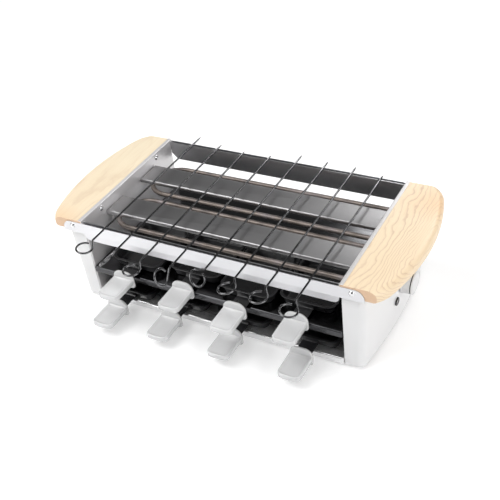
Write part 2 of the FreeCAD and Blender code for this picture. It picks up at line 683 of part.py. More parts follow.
# A domed head with a shank, standing at a point and driven along a direction.
def fastener(at, along, head_radius, head_height, shank_radius, length):
    head_radius, head_height = float(head_radius), float(head_height)
    sphere_radius = (head_radius ** 2 + head_height ** 2) / (2 * head_height)
    dome = Part.makeSphere(sphere_radius, vector(0, 0, head_height - sphere_radius))
    keep = Part.makeCylinder(head_radius + 1, head_height + 1)
    shank = Part.makeCylinder(float(shank_radius), float(length), vector(0, 0, -float(length)))
    shape = dome.common(keep).fuse(shank).removeSplitter()
    shape.Placement = FreeCAD.Placement(at, FreeCAD.Rotation(vector(0, 0, -1), along))
    return shape


def make_rail_screws():
    shapes = []
    for side in (-1, 1):
        for end in (-1, 1):
            at = vector(side * float(rail_screw_reach), end * float(half_depth),
                        float(rail_top - rail_screw_drop))
            shapes.append(fastener(at, vector(0, -end, 0), screw_head_radius, screw_head_height,
                                   screw_radius, screw_length))
    return place(compound("RailScrews", shapes), "rail_screws")


def make_handle_screws():
    shapes = []
    for side in (-1, 1):
        for end in (-1, 1):
            at = vector(side * float(cavity_half), end * float(handle_screw_spread),
                        float(rail_top - handle_screw_drop))
            shapes.append(fastener(at, vector(side, 0, 0), screw_head_radius, screw_head_height,
                                   screw_radius, screw_length))
    return place(compound("HandleScrews", shapes), "handle_screws")


# Rivets hold the shelf and the base plate to the inner walls, with their heads in the housings.
def make_shelf_rivets():
    shapes = []
    grip = float(2 * wall_sheet + seat_gap)
    for side in (-1, 1):
        for end in (-1, 1):
            for level in rivet_levels:
                at = vector(side * float(wall_outside), end * float(rivet_spread), float(level))
                shapes.append(fastener(at, vector(-side, 0, 0), 2 * rivet_radius, 0.8 * rivet_radius,
                                       rivet_radius, grip + float(rivet_radius)))
    return place(compound("ShelfRivets", shapes), "shelf_rivets")


def make_cover_screws():
    shapes = []
    middle = float(wall_outside + wall_flange / 2)
    for side in (-1, 1):
        for end in (-1, 1):
            at = vector(side * middle, end * float(cover_screw_spread), float(foot_height))
            shapes.append(fastener(at, vector(0, 0, 1), 2 * cover_screw_radius, cover_screw_radius,
                                   cover_screw_radius, 4 * cover_sheet))
    return place(compound("CoverScrews", shapes), "cover_screws")


# A rubber foot: a pad under the cover, a neck through it and a head that holds it.
def make_feet():
    shapes = []
    pad, neck, head = float(foot_radius), float(foot_neck), float(foot_head)
    low, high = float(foot_height), float(wall_bottom)
    for side in (-1, 1):
        for end in (-1, 1):
            at = vector(side * float(foot_reach), end * float(foot_spread), 0)
            shape = Part.makeCone(pad - 1, pad, low, at)
            shape = shape.fuse(Part.makeCylinder(neck, high, at))
            shape = shape.fuse(Part.makeCone(head, neck, neck, at + vector(0, 0, high)))
            shapes.append(shape.removeSplitter())
    return place(compound("Feet", shapes), "feet")


# A heating tube: one hairpin through the right inner wall, with a pin at each end.
def make_heating_element(label, outer, inner):
    body = new_body(label)
    bend = (outer - inner) / 2 if float(outer) > float(inner) else (inner - outer) / 2
    centre_x = -cavity_half + element_gap + bend
    end_x = wall_outside + element_stub
    path = new_sketch(body, "XY", element_height)
    draw(path, [(end_x, outer), (centre_x, outer), (centre_x, inner), (end_x, inner)],
         {1: Turn(bend, side=1 if float(outer) > float(inner) else -1)}, closed=False)
    round_face = new_sketch(body, "YZ", end_x)
    draw_circle(round_face, outer, element_height, element_radius)
    pipe = body.newObject("PartDesign::AdditivePipe", "Pipe")
    pipe.Profile = round_face
    pipe.Spine = (path, [f"Edge{row}" for row in (1, 2, 3)])
    body.Tip = pipe
    pins = new_sketch(body, "YZ", end_x)
    draw_circle(pins, outer, element_height, pin_radius)
    draw_circle(pins, inner, element_height, pin_radius)
    solid_from(body, "Pad", pins, pin_length)
    return place(body, label)


def make_element_clips():
    shapes = []
    wall = float(cavity_half)
    width, thick = float(clip_width), float(wall_sheet)
    tip = float(element_gap + 3 * element_radius)
    floor = float(element_height - element_radius) - thick
    for end in (-1, 1):
        middle = end * float(element_outer + element_inner) / 2
        tongue = Part.makeBox(tip, width, thick, vector(-wall, middle - width / 2, floor))
        plate = Part.makeBox(thick, width, width, vector(-wall, middle - width / 2, floor - width + thick))
        shapes.append(tongue.fuse(plate).removeSplitter())
    return place(compound("ElementClips", shapes), "element_clips")


def make_element_bushings():
    shapes = []
    thick = float(wall_sheet)
    for leg in element_legs:
        at = vector(float(wall_outside), float(leg), float(element_height))
        collar = Part.makeCylinder(float(bushing_collar), 3 * thick, at, vector(1, 0, 0))
        neck = Part.makeCylinder(float(bushing_radius), 3 * thick, at - vector(3 * thick, 0, 0), vector(1, 0, 0))
        bore = cylinder(element_radius + slack, at - vector(20, 0, 0), at + vector(20, 0, 0))
        shapes.append(collar.fuse(neck).cut(bore).removeSplitter())
    return place(compound("ElementBushings", shapes), "element_bushings")


# The knob's pieces are drawn along +X from the panel's face, then leaned with the panel.
def place_on_panel(item, label, level, offset):
    centre = panel_reach + panel_lean * (level - foot_height) - panel_arc
    distance = Size(panel_face_x(float(level), float(offset)) - float(centre),
                    f"sqrt({panel_arc.formula}^2 - {as_size(offset).formula}^2)")
    lean = Size(math.degrees(math.atan(float(panel_lean))), f"atan({panel_lean.formula})")
    return place(item, label, centre + distance, offset, level, vector(0, 1, 0), lean)


def make_thermostat():
    body = new_body("Thermostat")
    half = thermostat_side / 2
    front = -(panel_sheet + seat_gap)
    block = new_sketch(body, "YZ", front)
    draw(block, box_corners(-half, half, -half, half))
    solid_from(body, "Pad", block, thermostat_depth, back=True)
    stem = new_sketch(body, "YZ", front)
    draw_circle(stem, 0, 0, stem_radius)
    solid_from(body, "Pad", stem, stem_proud - front)
    bore = new_sketch(body, "YZ", stem_proud)
    draw_circle(bore, 0, 0, shaft_radius + slack)
    solid_from(body, "Pocket", bore, stem_proud + shaft_inside + seat_gap)
    tabs = new_sketch(body, "YZ", front - thermostat_depth)
    for end in (-1, 1):
        middle = end * half / 2
        draw(tabs, box_corners(middle - half / 4, middle + half / 4, -wall_sheet / 2, wall_sheet / 2))
    solid_from(body, "Pad", tabs, tab_length, back=True)
    place_on_panel(body, "thermostat", knob_height, 0)


def make_thermostat_nut():
    body = new_body("ThermostatNut")
    face = new_sketch(body, "YZ", slack)
    flat = Size(float(nut_radius) * math.sqrt(3) / 2, f"({nut_radius.formula} * sqrt(3) / 2)")
    draw(face, [
        (nut_radius, 0), (nut_radius / 2, flat), (-nut_radius / 2, flat),
        (-nut_radius, 0), (-nut_radius / 2, -flat), (nut_radius / 2, -flat),
    ])
    draw_circle(face, 0, 0, stem_radius + slack)
    solid_from(body, "Pad", face, nut_thickness)
    place_on_panel(body, "thermostat_nut", knob_height, 0)


def make_thermostat_shaft():
    body = new_body("ThermostatShaft")
    face = new_sketch(body, "YZ", -shaft_inside)
    draw_circle(face, 0, 0, shaft_radius)
    solid_from(body, "Pad", face, shaft_inside + shaft_end)
    place_on_panel(body, "thermostat_shaft", knob_height, 0)


def make_knob():
    body = new_body("Knob")
    profile = new_sketch(body, "XY")
    back, front = knob_clearance, knob_clearance + knob_depth
    recess = back + knob_recess_depth
    bore_end = shaft_end + slack
    groove_in = knob_groove_radius - knob_groove_width / 2
    groove_out = knob_groove_radius + knob_groove_width / 2
    fit = shaft_radius + slack / 2
    draw(profile, [
        (bore_end, 0), (bore_end, fit), (recess, fit), (recess, knob_recess_radius),
        (back, knob_recess_radius), (back, knob_radius), (front, knob_radius), (front, groove_out),
        (front - knob_groove_depth, groove_out), (front - knob_groove_depth, groove_in),
        (front, groove_in), (front, 0),
    ])
    turned = body.newObject("PartDesign::Revolution", "Revolution")
    turned.Profile = profile
    turned.ReferenceAxis = (profile, ["H_Axis"])
    turned.Angle = 360
    body.Tip = turned
    place_on_panel(body, "knob", knob_height, 0)


def make_pilot_lamp():
    bezel = new_body("PilotLampBezel")
    ring = new_sketch(bezel, "YZ", seat_gap)
    draw_circle(ring, 0, 0, bezel_radius)
    draw_circle(ring, 0, 0, lamp_radius + slack / 2)
    solid_from(bezel, "Pad", ring, bezel_proud)
    place_on_panel(bezel, "pilot_lamp_bezel", lamp_height, -lamp_offset)
    lamp = new_body("PilotLamp")
    barrel = new_sketch(lamp, "YZ", -lamp_inside)
    draw_circle(barrel, 0, 0, lamp_radius)
    solid_from(lamp, "Pad", barrel, lamp_inside + bezel_proud)
    place_on_panel(lamp, "pilot_lamp", lamp_height, -lamp_offset)


def make_terminal_block():
    body = new_body("TerminalBlock")
    half = block_length / 2
    slab(body, wall_outside, wall_outside + block_depth, block_centre - half, block_centre + half,
         block_level - block_height / 2, block_level + block_height / 2)
    third = block_length / 3
    drill(body, "XY", block_level + block_height / 2, [
        (wall_outside + block_depth / 2, block_centre + step * third) for step in (-1, 0, 1)
    ], 2 * slack + pin_radius, block_height)
    place(body, "terminal_block")


# The cord's inlet: a bushing in the right panel's rear flange.
def make_cord_inlet():
    body = new_body("CordInlet")
    outer = new_sketch(body, "XZ", -panel_half_depth)
    draw_circle(outer, gland_reach, gland_level, gland_collar)
    solid_from(body, "Pad", outer, 3 * panel_sheet, back=True)
    neck = new_sketch(body, "XZ", -panel_half_depth)
    draw_circle(neck, gland_reach, gland_level, gland_radius)
    solid_from(body, "Pad", neck, 4 * panel_sheet)
    drill(body, "XZ", -panel_half_depth, [(gland_reach, gland_level)], gland_bore, 20 * panel_sheet)
    place(body, "cord_inlet")


# A skewer: its rod along Y with the point behind, then a bend, a short slant and the ring.
# It is drawn flat with the rod on the Y axis, then turned about the rod.
def make_skewer(number, pull, turn):
    body = new_body(f"Skewer{number}")
    radius, ahead = float(ring_radius), float(ring_ahead)
    slant = math.asin(radius / ahead)
    run = math.sqrt(ahead ** 2 - radius ** 2)
    back_off = float(bend_radius) * math.tan(slant / 2)
    sine = ring_radius / ring_ahead
    slant_run = Size(run, f"sqrt({ring_ahead.formula}^2 - {ring_radius.formula}^2)")
    cosine = slant_run / ring_ahead
    trim = Size(back_off, f"({bend_radius.formula} * tan(asin({sine.formula}) / 2))")
    last_turn = math.radians(float(ring_sweep) - 180) - slant
    last = f"(({ring_sweep.formula} - 180) - asin({sine.formula}) / 1deg)"
    end_x = ring_radius * Size(math.cos(last_turn), f"cos({last} * 1deg)")
    end_y = ring_radius * Size(math.sin(last_turn), f"sin({last} * 1deg)")
    path = new_sketch(body, "XY")
    draw(path, [
        (0, skewer_length - skewer_point), (0, trim), (trim * sine, -trim * cosine),
        (slant_run * sine, -slant_run * cosine), (-end_x, -ring_ahead + end_y),
    ], {1: Turn(bend_radius), 3: Turn(ring_radius, side=-1, long_way=True)}, closed=False)
    wire_end = new_sketch(body, "XZ", skewer_point - skewer_length)
    draw_circle(wire_end, 0, 0, skewer_radius)
    pipe = body.newObject("PartDesign::AdditivePipe", "Pipe")
    pipe.Profile = wire_end
    pipe.Spine = (path, [f"Edge{row}" for row in (1, 2, 3, 4)])
    body.Tip = pipe
    point = new_sketch(body, "XY")
    draw(point, [(0, skewer_length - skewer_point), (skewer_radius, skewer_length - skewer_point),
                 (0, skewer_length)])
    revolve(body, point)
    x = skewer_pitch * (number - 1 - (skewer_count - 1) / 2)
    return place(body, f"skewer_{number}", x, -half_depth - pull, rod_height, vector(0, 1, 0), turn)


# A pan's dish and its tongue: drawn from the guard's back, with its bottom at the height zero.
def make_pan_dish(label, x, pull, deck):
    body = new_body(label)
    half, rim_half = pan_width / 2 - pan_rim, pan_width / 2
    near, far = pan_neck + pan_rim, pan_neck + pan_length - pan_rim
    foot_half = half - pan_slope
    foot_corner = pan_corner - pan_slope
    for inset, low, kind in ((0, 0, "AdditiveLoft"), (pan_sheet, pan_sheet, "SubtractiveLoft")):
        bottom = new_sketch(body, "XY", low)
        draw_round_box(bottom, -foot_half + inset, foot_half - inset, near + pan_slope + inset,
                       far - pan_slope - inset, foot_corner - inset)
        top = new_sketch(body, "XY", pan_height)
        draw_round_box(top, -half + inset, half - inset, near + inset, far - inset, pan_corner - inset)
        loft = body.newObject("PartDesign::" + kind, kind)
        loft.Profile = bottom
        loft.Sections = [top]
        loft.Ruled = True
        body.Tip = loft
    rim = new_sketch(body, "XY", pan_height - pan_sheet)
    draw_round_box(rim, -rim_half, rim_half, pan_neck, pan_neck + pan_length, pan_corner + pan_rim)
    draw_round_box(rim, -half + pan_sheet, half - pan_sheet, near + pan_sheet, far - pan_sheet,
                   pan_corner - pan_sheet)
    solid_from(body, "Pad", rim, pan_sheet)
    tongue = new_sketch(body, "XY", tongue_level - seat_gap)
    draw(tongue, box_corners(-tongue_width / 2, tongue_width / 2, -tongue_reach, near + pan_slope))
    solid_from(body, "Pad", tongue, pan_sheet)
    return place(body, label, x, guard_back(pull), deck + seat_gap)


# A pan's handle: an upright heat guard and a thin-skinned grip with the tongue inside.
def make_pan_handle(label, x, pull, deck):
    body = new_body(label)
    half = guard_width / 2
    guard = new_sketch(body, "XZ")
    draw(guard, [
        (guard_heel - half, -guard_drop), (half - guard_heel, -guard_drop),
        (half, guard_heel - guard_drop), (half, guard_top - guard_shoulder),
        (half - guard_shoulder, guard_top), (guard_shoulder - half, guard_top),
        (-half, guard_top - guard_shoulder), (-half, guard_heel - guard_drop),
    ], {1: Turn(guard_heel), 3: Turn(guard_shoulder), 5: Turn(guard_shoulder), 7: Turn(guard_heel)})
    solid_from(body, "Pad", guard, guard_thickness)
    side = grip_width / 2
    tip = -guard_thickness - grip_length
    start = -guard_thickness / 2
    grip = new_sketch(body, "XY", grip_top - grip_thickness)
    draw(grip, [
        (-side, start), (-side, tip + grip_tip_radius), (grip_tip_radius - side, tip),
        (side - grip_tip_radius, tip), (side, tip + grip_tip_radius), (side, start),
    ], {1: Turn(grip_tip_radius), 3: Turn(grip_tip_radius)})
    solid_from(body, "Pad", grip, grip_thickness)
    for inset, level, depth, up in (
        (grip_wall, grip_top - grip_thickness, tongue_level - slack - grip_top + grip_thickness, True),
        (grip_wall, grip_top, grip_dish, False),
    ):
        hollow = new_sketch(body, "XY", level)
        edge, corner = side - inset, grip_tip_radius - inset
        near, far = -guard_thickness - inset, tip + inset
        draw(hollow, [
            (-edge, near), (-edge, far + corner), (corner - edge, far),
            (edge - corner, far), (edge, far + corner), (edge, near),
        ], {1: Turn(corner), 3: Turn(corner)})
        solid_from(body, "Pocket", hollow, depth, back=up)
    slot = new_sketch(body, "XY", tongue_level - slack)
    draw(slot, box_corners(-tongue_width / 2 - slack, tongue_width / 2 + slack, -tongue_reach - slack, 1))
    solid_from(body, "Pocket", slot, pan_sheet + 2 * slack, back=True)
    return place(body, label, x, guard_back(pull), deck)


def guard_back(pull):
    return -half_depth - pull + guard_thickness


rivet_levels = [wall_bottom + wall_sheet + 2 * rivet_radius + seat_gap, shelf_deck - shelf_lip / 2]
element_legs = [-element_outer, -element_inner, element_inner, element_outer]
tongue_level = grip_top - grip_wall - pan_sheet
deck_half_depth = half_depth - deck_setback
rivet_holes = [
    [(end * rivet_spread, level) for end in (-1, 1)] for level in rivet_levels
]

make_rail("front_rail", False)
make_rail("back_rail", True)
make_tray("base_plate", cavity_half - seat_gap, -deck_half_depth, deck_half_depth, base_deck, base_lip,
          rivet_holes[0])
make_tray("middle_shelf", cavity_half - seat_gap, -deck_half_depth, deck_half_depth, shelf_deck,
          shelf_lip, rivet_holes[1])
make_tray("heat_deflector_front", cavity_half - seat_gap, -deflector_outer, -deflector_inner,
          deflector_top, deflector_lip)
make_tray("heat_deflector_rear", cavity_half - seat_gap, deflector_inner, deflector_outer,
          deflector_top, deflector_lip)
for side, name in ((-1, "left"), (1, "right")):
    make_side_panel("side_panel_" + name, side)
    make_side_cover("side_cover_" + name, side)
    make_inner_wall("inner_wall_" + name, side)
    make_wood_handle("wood_handle_" + name, side)
make_rail_screws()
make_handle_screws()
make_shelf_rivets()
make_cover_screws()
make_feet()
make_heating_element("heating_element_front", -element_outer, -element_inner)
make_heating_element("heating_element_rear", element_outer, element_inner)
make_element_clips()
make_element_bushings()
make_thermostat()
make_thermostat_nut()
make_thermostat_shaft()
make_knob()
make_pilot_lamp()
make_terminal_block()
make_cord_inlet()
for number, (pull, turn) in enumerate(zip(skewer_pulls, skewer_turns), 1):
    make_skewer(number, pull, turn)
pans = [
    (upper_pitch_one, upper_pull_one, shelf_deck), (upper_pitch_two, upper_pull_two, shelf_deck),
    (upper_pitch_three, upper_pull_three, shelf_deck), (upper_pitch_four, upper_pull_four, shelf_deck),
    (lower_pitch_one, lower_pull_one, base_deck), (lower_pitch_two, lower_pull_two, base_deck),
    (lower_pitch_three, lower_pull_three, base_deck), (lower_pitch_four, lower_pull_four, base_deck),
]
for number, (x, pull, deck) in enumerate(pans, 1):
    make_pan_dish(f"pan_dish_{number}", x, pull, deck)
    make_pan_handle(f"pan_handle_{number}", x, pull, deck)

doc.recompute()
for item in doc.Objects:
    if any(word in item.State for word in ("Invalid", "Error")):
        raise RuntimeError(f"{item.Label} failed: {item.State}")
for node in nodes:
    if node.Shape.isNull() or not node.Shape.isValid() or not node.Shape.Solids:
        raise RuntimeError(f"{node.Label} has no valid solid")
    node.Shape.exportStep(f"parts/{node.Label}.step")
print(f"{len(nodes)} nodes, centre shift {float(centre_shift):.3f} mm")
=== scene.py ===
import json
import math
import bmesh
import bpy
from mathutils import Matrix, Vector


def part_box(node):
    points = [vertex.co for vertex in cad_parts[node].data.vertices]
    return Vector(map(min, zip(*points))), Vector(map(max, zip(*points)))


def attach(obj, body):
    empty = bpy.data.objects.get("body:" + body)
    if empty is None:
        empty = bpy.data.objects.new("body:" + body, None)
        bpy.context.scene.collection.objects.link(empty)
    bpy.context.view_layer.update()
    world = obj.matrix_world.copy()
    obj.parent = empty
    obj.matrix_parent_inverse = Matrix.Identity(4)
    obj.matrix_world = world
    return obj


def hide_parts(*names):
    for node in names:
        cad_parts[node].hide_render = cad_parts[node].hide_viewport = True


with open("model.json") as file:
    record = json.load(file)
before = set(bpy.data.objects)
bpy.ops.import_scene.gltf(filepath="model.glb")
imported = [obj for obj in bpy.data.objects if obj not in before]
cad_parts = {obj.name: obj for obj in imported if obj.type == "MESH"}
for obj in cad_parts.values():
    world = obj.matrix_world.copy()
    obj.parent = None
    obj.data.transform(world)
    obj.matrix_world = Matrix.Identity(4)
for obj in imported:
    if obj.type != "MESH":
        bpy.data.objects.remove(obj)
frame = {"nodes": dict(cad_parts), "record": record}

mm = 0.001
scene = bpy.context.scene
nodes = frame["nodes"]
record = frame["record"]
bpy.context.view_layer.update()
print("frame loaded")

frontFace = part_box("front_rail")[0].y / mm  # outer plane of the front rail
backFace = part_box("back_rail")[1].y / mm
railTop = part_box("front_rail")[1].z / mm
midDepth = (frontFace + backFace) / 2
joints = {joint["name"]: joint for joint in record["behaviour"]["joints"]}

# building blocks: every length from here to the studio is in millimetres
meshing = {"weld": 0.002, "bevelSteps": 2, "bevelAngle": 50}


# a part is a pair of lists, vertices and faces; a piece is the Blender object made from it
def makePiece(name, part, body="frame", replaces=(), slot=None, material=None, sharp=32, bevel=0):
    verts, faces = part
    mesh = bpy.data.meshes.new(name)
    mesh.from_pydata([Vector(v) * mm for v in verts], [], faces)
    cleaner = bmesh.new()
    cleaner.from_mesh(mesh)
    bmesh.ops.remove_doubles(cleaner, verts=cleaner.verts, dist=meshing["weld"] * mm)
    bmesh.ops.recalc_face_normals(cleaner, faces=cleaner.faces)
    cleaner.to_mesh(mesh)
    cleaner.free()
    piece = bpy.data.objects.new(name, mesh)
    scene.collection.objects.link(piece)
    if bevel:
        rounding = piece.modifiers.new("edges", "BEVEL")
        rounding.width = bevel * mm
        rounding.segments = meshing["bevelSteps"]
        rounding.limit_method = "ANGLE"
        rounding.angle_limit = math.radians(meshing["bevelAngle"])
        rounding.harden_normals = True
    for face in mesh.polygons:
        face.use_smooth = True
    mesh.set_sharp_from_angle(angle=math.radians(sharp))
    mesh.materials.append(material or finishes[slot])
    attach(piece, body)
    if replaces:
        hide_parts(*replaces)
    return piece


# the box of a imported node, in millimetres
def nodeBox(node):
    return [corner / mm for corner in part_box(node)]


def joinParts(parts):
    verts, faces = [], []
    for partVerts, partFaces in parts:
        start = len(verts)
        verts += partVerts
        faces += [tuple(index + start for index in face) for face in partFaces]
    return verts, faces


def moveParts(part, matrix):
    verts, faces = part
    return [matrix @ Vector(v) for v in verts], faces


# rings of equal length, joined one to the next; the caps close the first and the last
def skin(rings, capStart=True, capEnd=True, closed=True):
    count = len(rings[0])
    verts = [Vector(v) for ring in rings for v in ring]
    faces = []
    last = count if closed else count - 1
    for row in range(len(rings) - 1):
        for index in range(last):
            after = (index + 1) % count
            faces.append((row * count + index, row * count + after,
                          (row + 1) * count + after, (row + 1) * count + index))
    if capStart:
        faces.append(tuple(reversed(range(count))))
    if capEnd:
        faces.append(tuple(range(len(verts) - count, len(verts))))
    return verts, faces


def flat(z):
    return 0.0


# a sheet with an outline in XZ, between two depths; lean shifts it along Y by its height
def plate(outline, yStart, yEnd, lean=flat):
    near = [(x, yStart + lean(z), z) for x, z in outline]
    far = [(x, yEnd + lean(z), z) for x, z in outline]
    return skin([near, far])


# a profile of (along X, radius) turned about the X axis
def turnedPart(profile, steps=48):
    rings = []
    for step in range(steps):
        angle = 2 * math.pi * step / steps
        cosine, sine = math.cos(angle), math.sin(angle)
        rings.append([(along, radius * cosine, radius * sine) for along, radius in profile])
    rings.append(rings[0])
    return skin(rings, capStart=False, capEnd=False, closed=False)


def arcPoints(centre, radius, start, end, steps):
    points = []
    for step in range(steps + 1):
        angle = math.radians(start + (end - start) * step / steps)
        points.append((centre[0] + radius * math.cos(angle), centre[1] + radius * math.sin(angle)))
    return points


def roundBox(halfX, lowY, highY, radius, steps=8):
    points = []
    corners = (((halfX, lowY), -90), ((halfX, highY), 0), ((-halfX, highY), 90), ((-halfX, lowY), 180))
    for corner, start in corners:
        centreX = corner[0] - math.copysign(radius, corner[0])
        centreY = corner[1] + radius if corner[1] == lowY else corner[1] - radius
        points += arcPoints((centreX, centreY), radius, start, start + 90, steps)
    return points


# a flat wire path in XY swept into a tube; radii may change along it
def tube(path, radii, sides=14, level=0.0):
    rings = []
    for index, point in enumerate(path):
        before = path[max(index - 1, 0)]
        after = path[min(index + 1, len(path) - 1)]
        along = Vector((after[0] - before[0], after[1] - before[1], 0)).normalized()
        aside = Vector((-along.y, along.x, 0))
        radius = radii[index] if isinstance(radii, list) else radii
        ring = []
        for side in range(sides):
            angle = 2 * math.pi * side / sides
            ring.append(Vector((point[0], point[1], level)) + aside * (radius * math.cos(angle))
                        + Vector((0, 0, radius * math.sin(angle))))
        rings.append(ring)
    return skin(rings)


# shader nodes, for the materials and for the world
class NodeTree:
    def __init__(self, tree):
        self.tree = tree
        self.coordinates = self.node("ShaderNodeTexCoord").outputs
        self.place = self.coordinates["Object"]

    def node(self, kind, **values):
        node = self.tree.nodes.new(kind)
        for key, value in values.items():
            setattr(node, key, value)
        return node

    def link(self, source, target):
        self.tree.links.new(source, target)

    def mapped(self, scale, shift=(0, 0, 0), source=None):
        mapping = self.node("ShaderNodeMapping")
        mapping.inputs["Location"].default_value = shift
        mapping.inputs["Scale"].default_value = scale
        self.link(source or self.place, mapping.inputs["Vector"])
        return mapping.outputs["Vector"]

    def noise(self, scale, detail=3.0, rough=0.5, stretch=(1, 1, 1), output="Fac"):
        noise = self.node("ShaderNodeTexNoise")
        noise.inputs["Scale"].default_value = scale
        noise.inputs["Detail"].default_value = detail
        noise.inputs["Roughness"].default_value = rough
        self.link(self.mapped(stretch), noise.inputs["Vector"])
        return noise.outputs[output]

    # stops are (position, colour) or (position, grey value)
    def ramp(self, source, stops):
        ramp = self.node("ShaderNodeValToRGB")
        elements = ramp.color_ramp.elements
        while len(elements) < len(stops):
            elements.new(0.5)
        for element, (position, colour) in zip(elements, stops):
            element.position = position
            element.color = (*colour, 1) if isinstance(colour, tuple) else (colour, colour, colour, 1)
        self.link(source, ramp.inputs["Fac"])
        return ramp.outputs["Color"]

    def spread(self, source, low, high, fromLow=0.3, fromHigh=0.7):
        spread = self.node("ShaderNodeMapRange")
        spread.inputs["From Min"].default_value = fromLow
        spread.inputs["From Max"].default_value = fromHigh
        spread.inputs["To Min"].default_value = low
        spread.inputs["To Max"].default_value = high
        self.link(source, spread.inputs["Value"])
        return spread.outputs["Result"]

    def mix(self, factor, first, second):
        mix = self.node("ShaderNodeMix", data_type="RGBA")
        self.link(factor, mix.inputs["Factor"])
        sockets = [item for item in mix.inputs if item.type == "RGBA"]
        for socket, value in zip(sockets, (first, second)):
            if isinstance(value, tuple):
                socket.default_value = (*value, 1)
            else:
                self.link(value, socket)
        return [item for item in mix.outputs if item.type == "RGBA"][0]

    def math(self, operation, first, second=None):
        node = self.node("ShaderNodeMath", operation=operation)
        for index, value in enumerate((first, second)):
            if value is None:
                continue
            if isinstance(value, (int, float)):
                node.inputs[index].default_value = value
            else:
                self.link(value, node.inputs[index])
        return node.outputs[0]

    def length(self, vector):
        node = self.node("ShaderNodeVectorMath", operation="LENGTH")
        self.link(vector, node.inputs[0])
        return node.outputs["Value"]


class Finish(NodeTree):
    def __init__(self, name, colour, metal=0.0, rough=0.4, coat=0.0, coatRough=0.1, specular=0.5):
        self.material = bpy.data.materials.new(name)
        self.material.use_nodes = True
        super().__init__(self.material.node_tree)
        self.shader = self.tree.nodes["Principled BSDF"]
        self.set("Base Color", (*colour, 1))
        self.set("Metallic", metal)
        self.set("Roughness", rough)
        self.set("Coat Weight", coat)
        self.set("Coat Roughness", coatRough)
        self.set("Specular IOR Level", specular)

    def set(self, socket, value):
        self.shader.inputs[socket].default_value = value

    def into(self, source, socket):
        self.link(source, self.shader.inputs[socket])

    # two tones of the base colour in soft clouds
    def tones(self, clouds, first, second, most=1.0):
        self.into(self.mix(self.spread(clouds, 0.0, most), first, second), "Base Color")

    def roughness(self, source, low, high):
        self.into(self.spread(source, low, high), "Roughness")

    def bump(self, height, strength, distance=0.0001):
        bump = self.node("ShaderNodeBump")
        bump.inputs["Strength"].default_value = strength
        bump.inputs["Distance"].default_value = distance
        self.link(height, bump.inputs["Height"])
        self.into(bump.outputs["Normal"], "Normal")


def shaded(colour, factor, lift=0.0):
    return tuple(value * factor + lift for value in colour)


# the darker clouds in every steel's colour are painted shade standing in for uneven reflections
steelLook = {
    "colour": (0.74, 0.74, 0.76), "rough": 0.24, "grain": 0.05, "grainBump": 0.015, "paintedReflectionShade": 0.12,
    "cloud": 9.0, "cloudStretch": (1, 0.6, 0.3),
}


def polishedSteel(name, colour=None, rough=None, along=(6, 260, 260), metal=1.0):
    colour = colour or steelLook["colour"]
    rough = rough or steelLook["rough"]
    finish = Finish(name, colour, metal=metal, rough=rough)
    grain = finish.noise(3.0, 4.0, 0.6, along)
    clouds = finish.noise(steelLook["cloud"], 2.0, 0.4, steelLook["cloudStretch"])
    # darker clouds painted into the base colour as uneven reflections
    finish.tones(clouds, colour, shaded(colour, 1 - steelLook["paintedReflectionShade"]))
    finish.roughness(grain, rough - steelLook["grain"], rough + steelLook["grain"])
    finish.bump(grain, steelLook["grainBump"])
    return finish.material


lacquerLook = {"coat": 0.3, "coatRough": 0.12, "cloud": 9.0, "shade": 0.965, "peelScale": 520.0, "peel": 0.04}


def lacquer(name, colour, rough):
    finish = Finish(name, colour, rough=rough, coat=lacquerLook["coat"], coatRough=lacquerLook["coatRough"])
    finish.tones(finish.noise(lacquerLook["cloud"], 2.0), colour, shaded(colour, lacquerLook["shade"]))
    finish.roughness(finish.noise(60.0, 3.0), rough - 0.04, rough + 0.05)
    finish.bump(finish.noise(lacquerLook["peelScale"], 2.0), lacquerLook["peel"])
    return finish.material


coatingLook = {"cloud": 22.0, "worn": 1.6, "lift": 0.004, "bump": 0.12}


def darkCoating(name, colour, rough, speckle=900.0):
    finish = Finish(name, colour, rough=rough)
    clouds = finish.noise(coatingLook["cloud"], 4.0)
    finish.tones(clouds, colour, shaded(colour, coatingLook["worn"], coatingLook["lift"]), 0.8)
    finish.roughness(clouds, rough - 0.07, rough + 0.1)
    finish.bump(finish.noise(speckle, 2.0), coatingLook["bump"], 0.00012)
    return finish.material


mouldedLook = {
    "coatRough": 0.2, "glowDepth": 0.004, "cloud": 35.0, "shade": 0.98, "grain": 700.0, "bump": 0.05,
}


def moulded(name, colour, rough, coat=0.15, clear=0.0):
    finish = Finish(name, colour, rough=rough, coat=coat, coatRough=mouldedLook["coatRough"])
    if clear:
        finish.set("Subsurface Weight", clear)
        finish.set("Subsurface Radius", (mouldedLook["glowDepth"],) * 3)
        finish.set("Subsurface Scale", 1.0)
    finish.tones(finish.noise(mouldedLook["cloud"], 2.0), colour, shaded(colour, mouldedLook["shade"]))
    finish.roughness(finish.noise(40.0, 2.0), rough - 0.015, rough + 0.02)
    finish.bump(finish.noise(mouldedLook["grain"], 2.0), mouldedLook["bump"])
    return finish.material


woodLook = {
    "late": (0.60, 0.38, 0.24), "fibre": (0.74, 0.52, 0.32), "tint": (0.93, 0.62, 0.36),
    "rings": 400.0, "squeeze": 0.15, "wander": 0.085, "rough": 0.36, "coat": 0.12, "coatRough": 0.25,
    "ringShape": [(0.0, 0.15), (0.45, 0.0), (0.72, 0.25), (0.88, 1.0), (1.0, 0.15)],
    "warmth": 0.75, "warmInside": 0.004, "warmReach": 0.055, "fibreShare": 0.3,
}


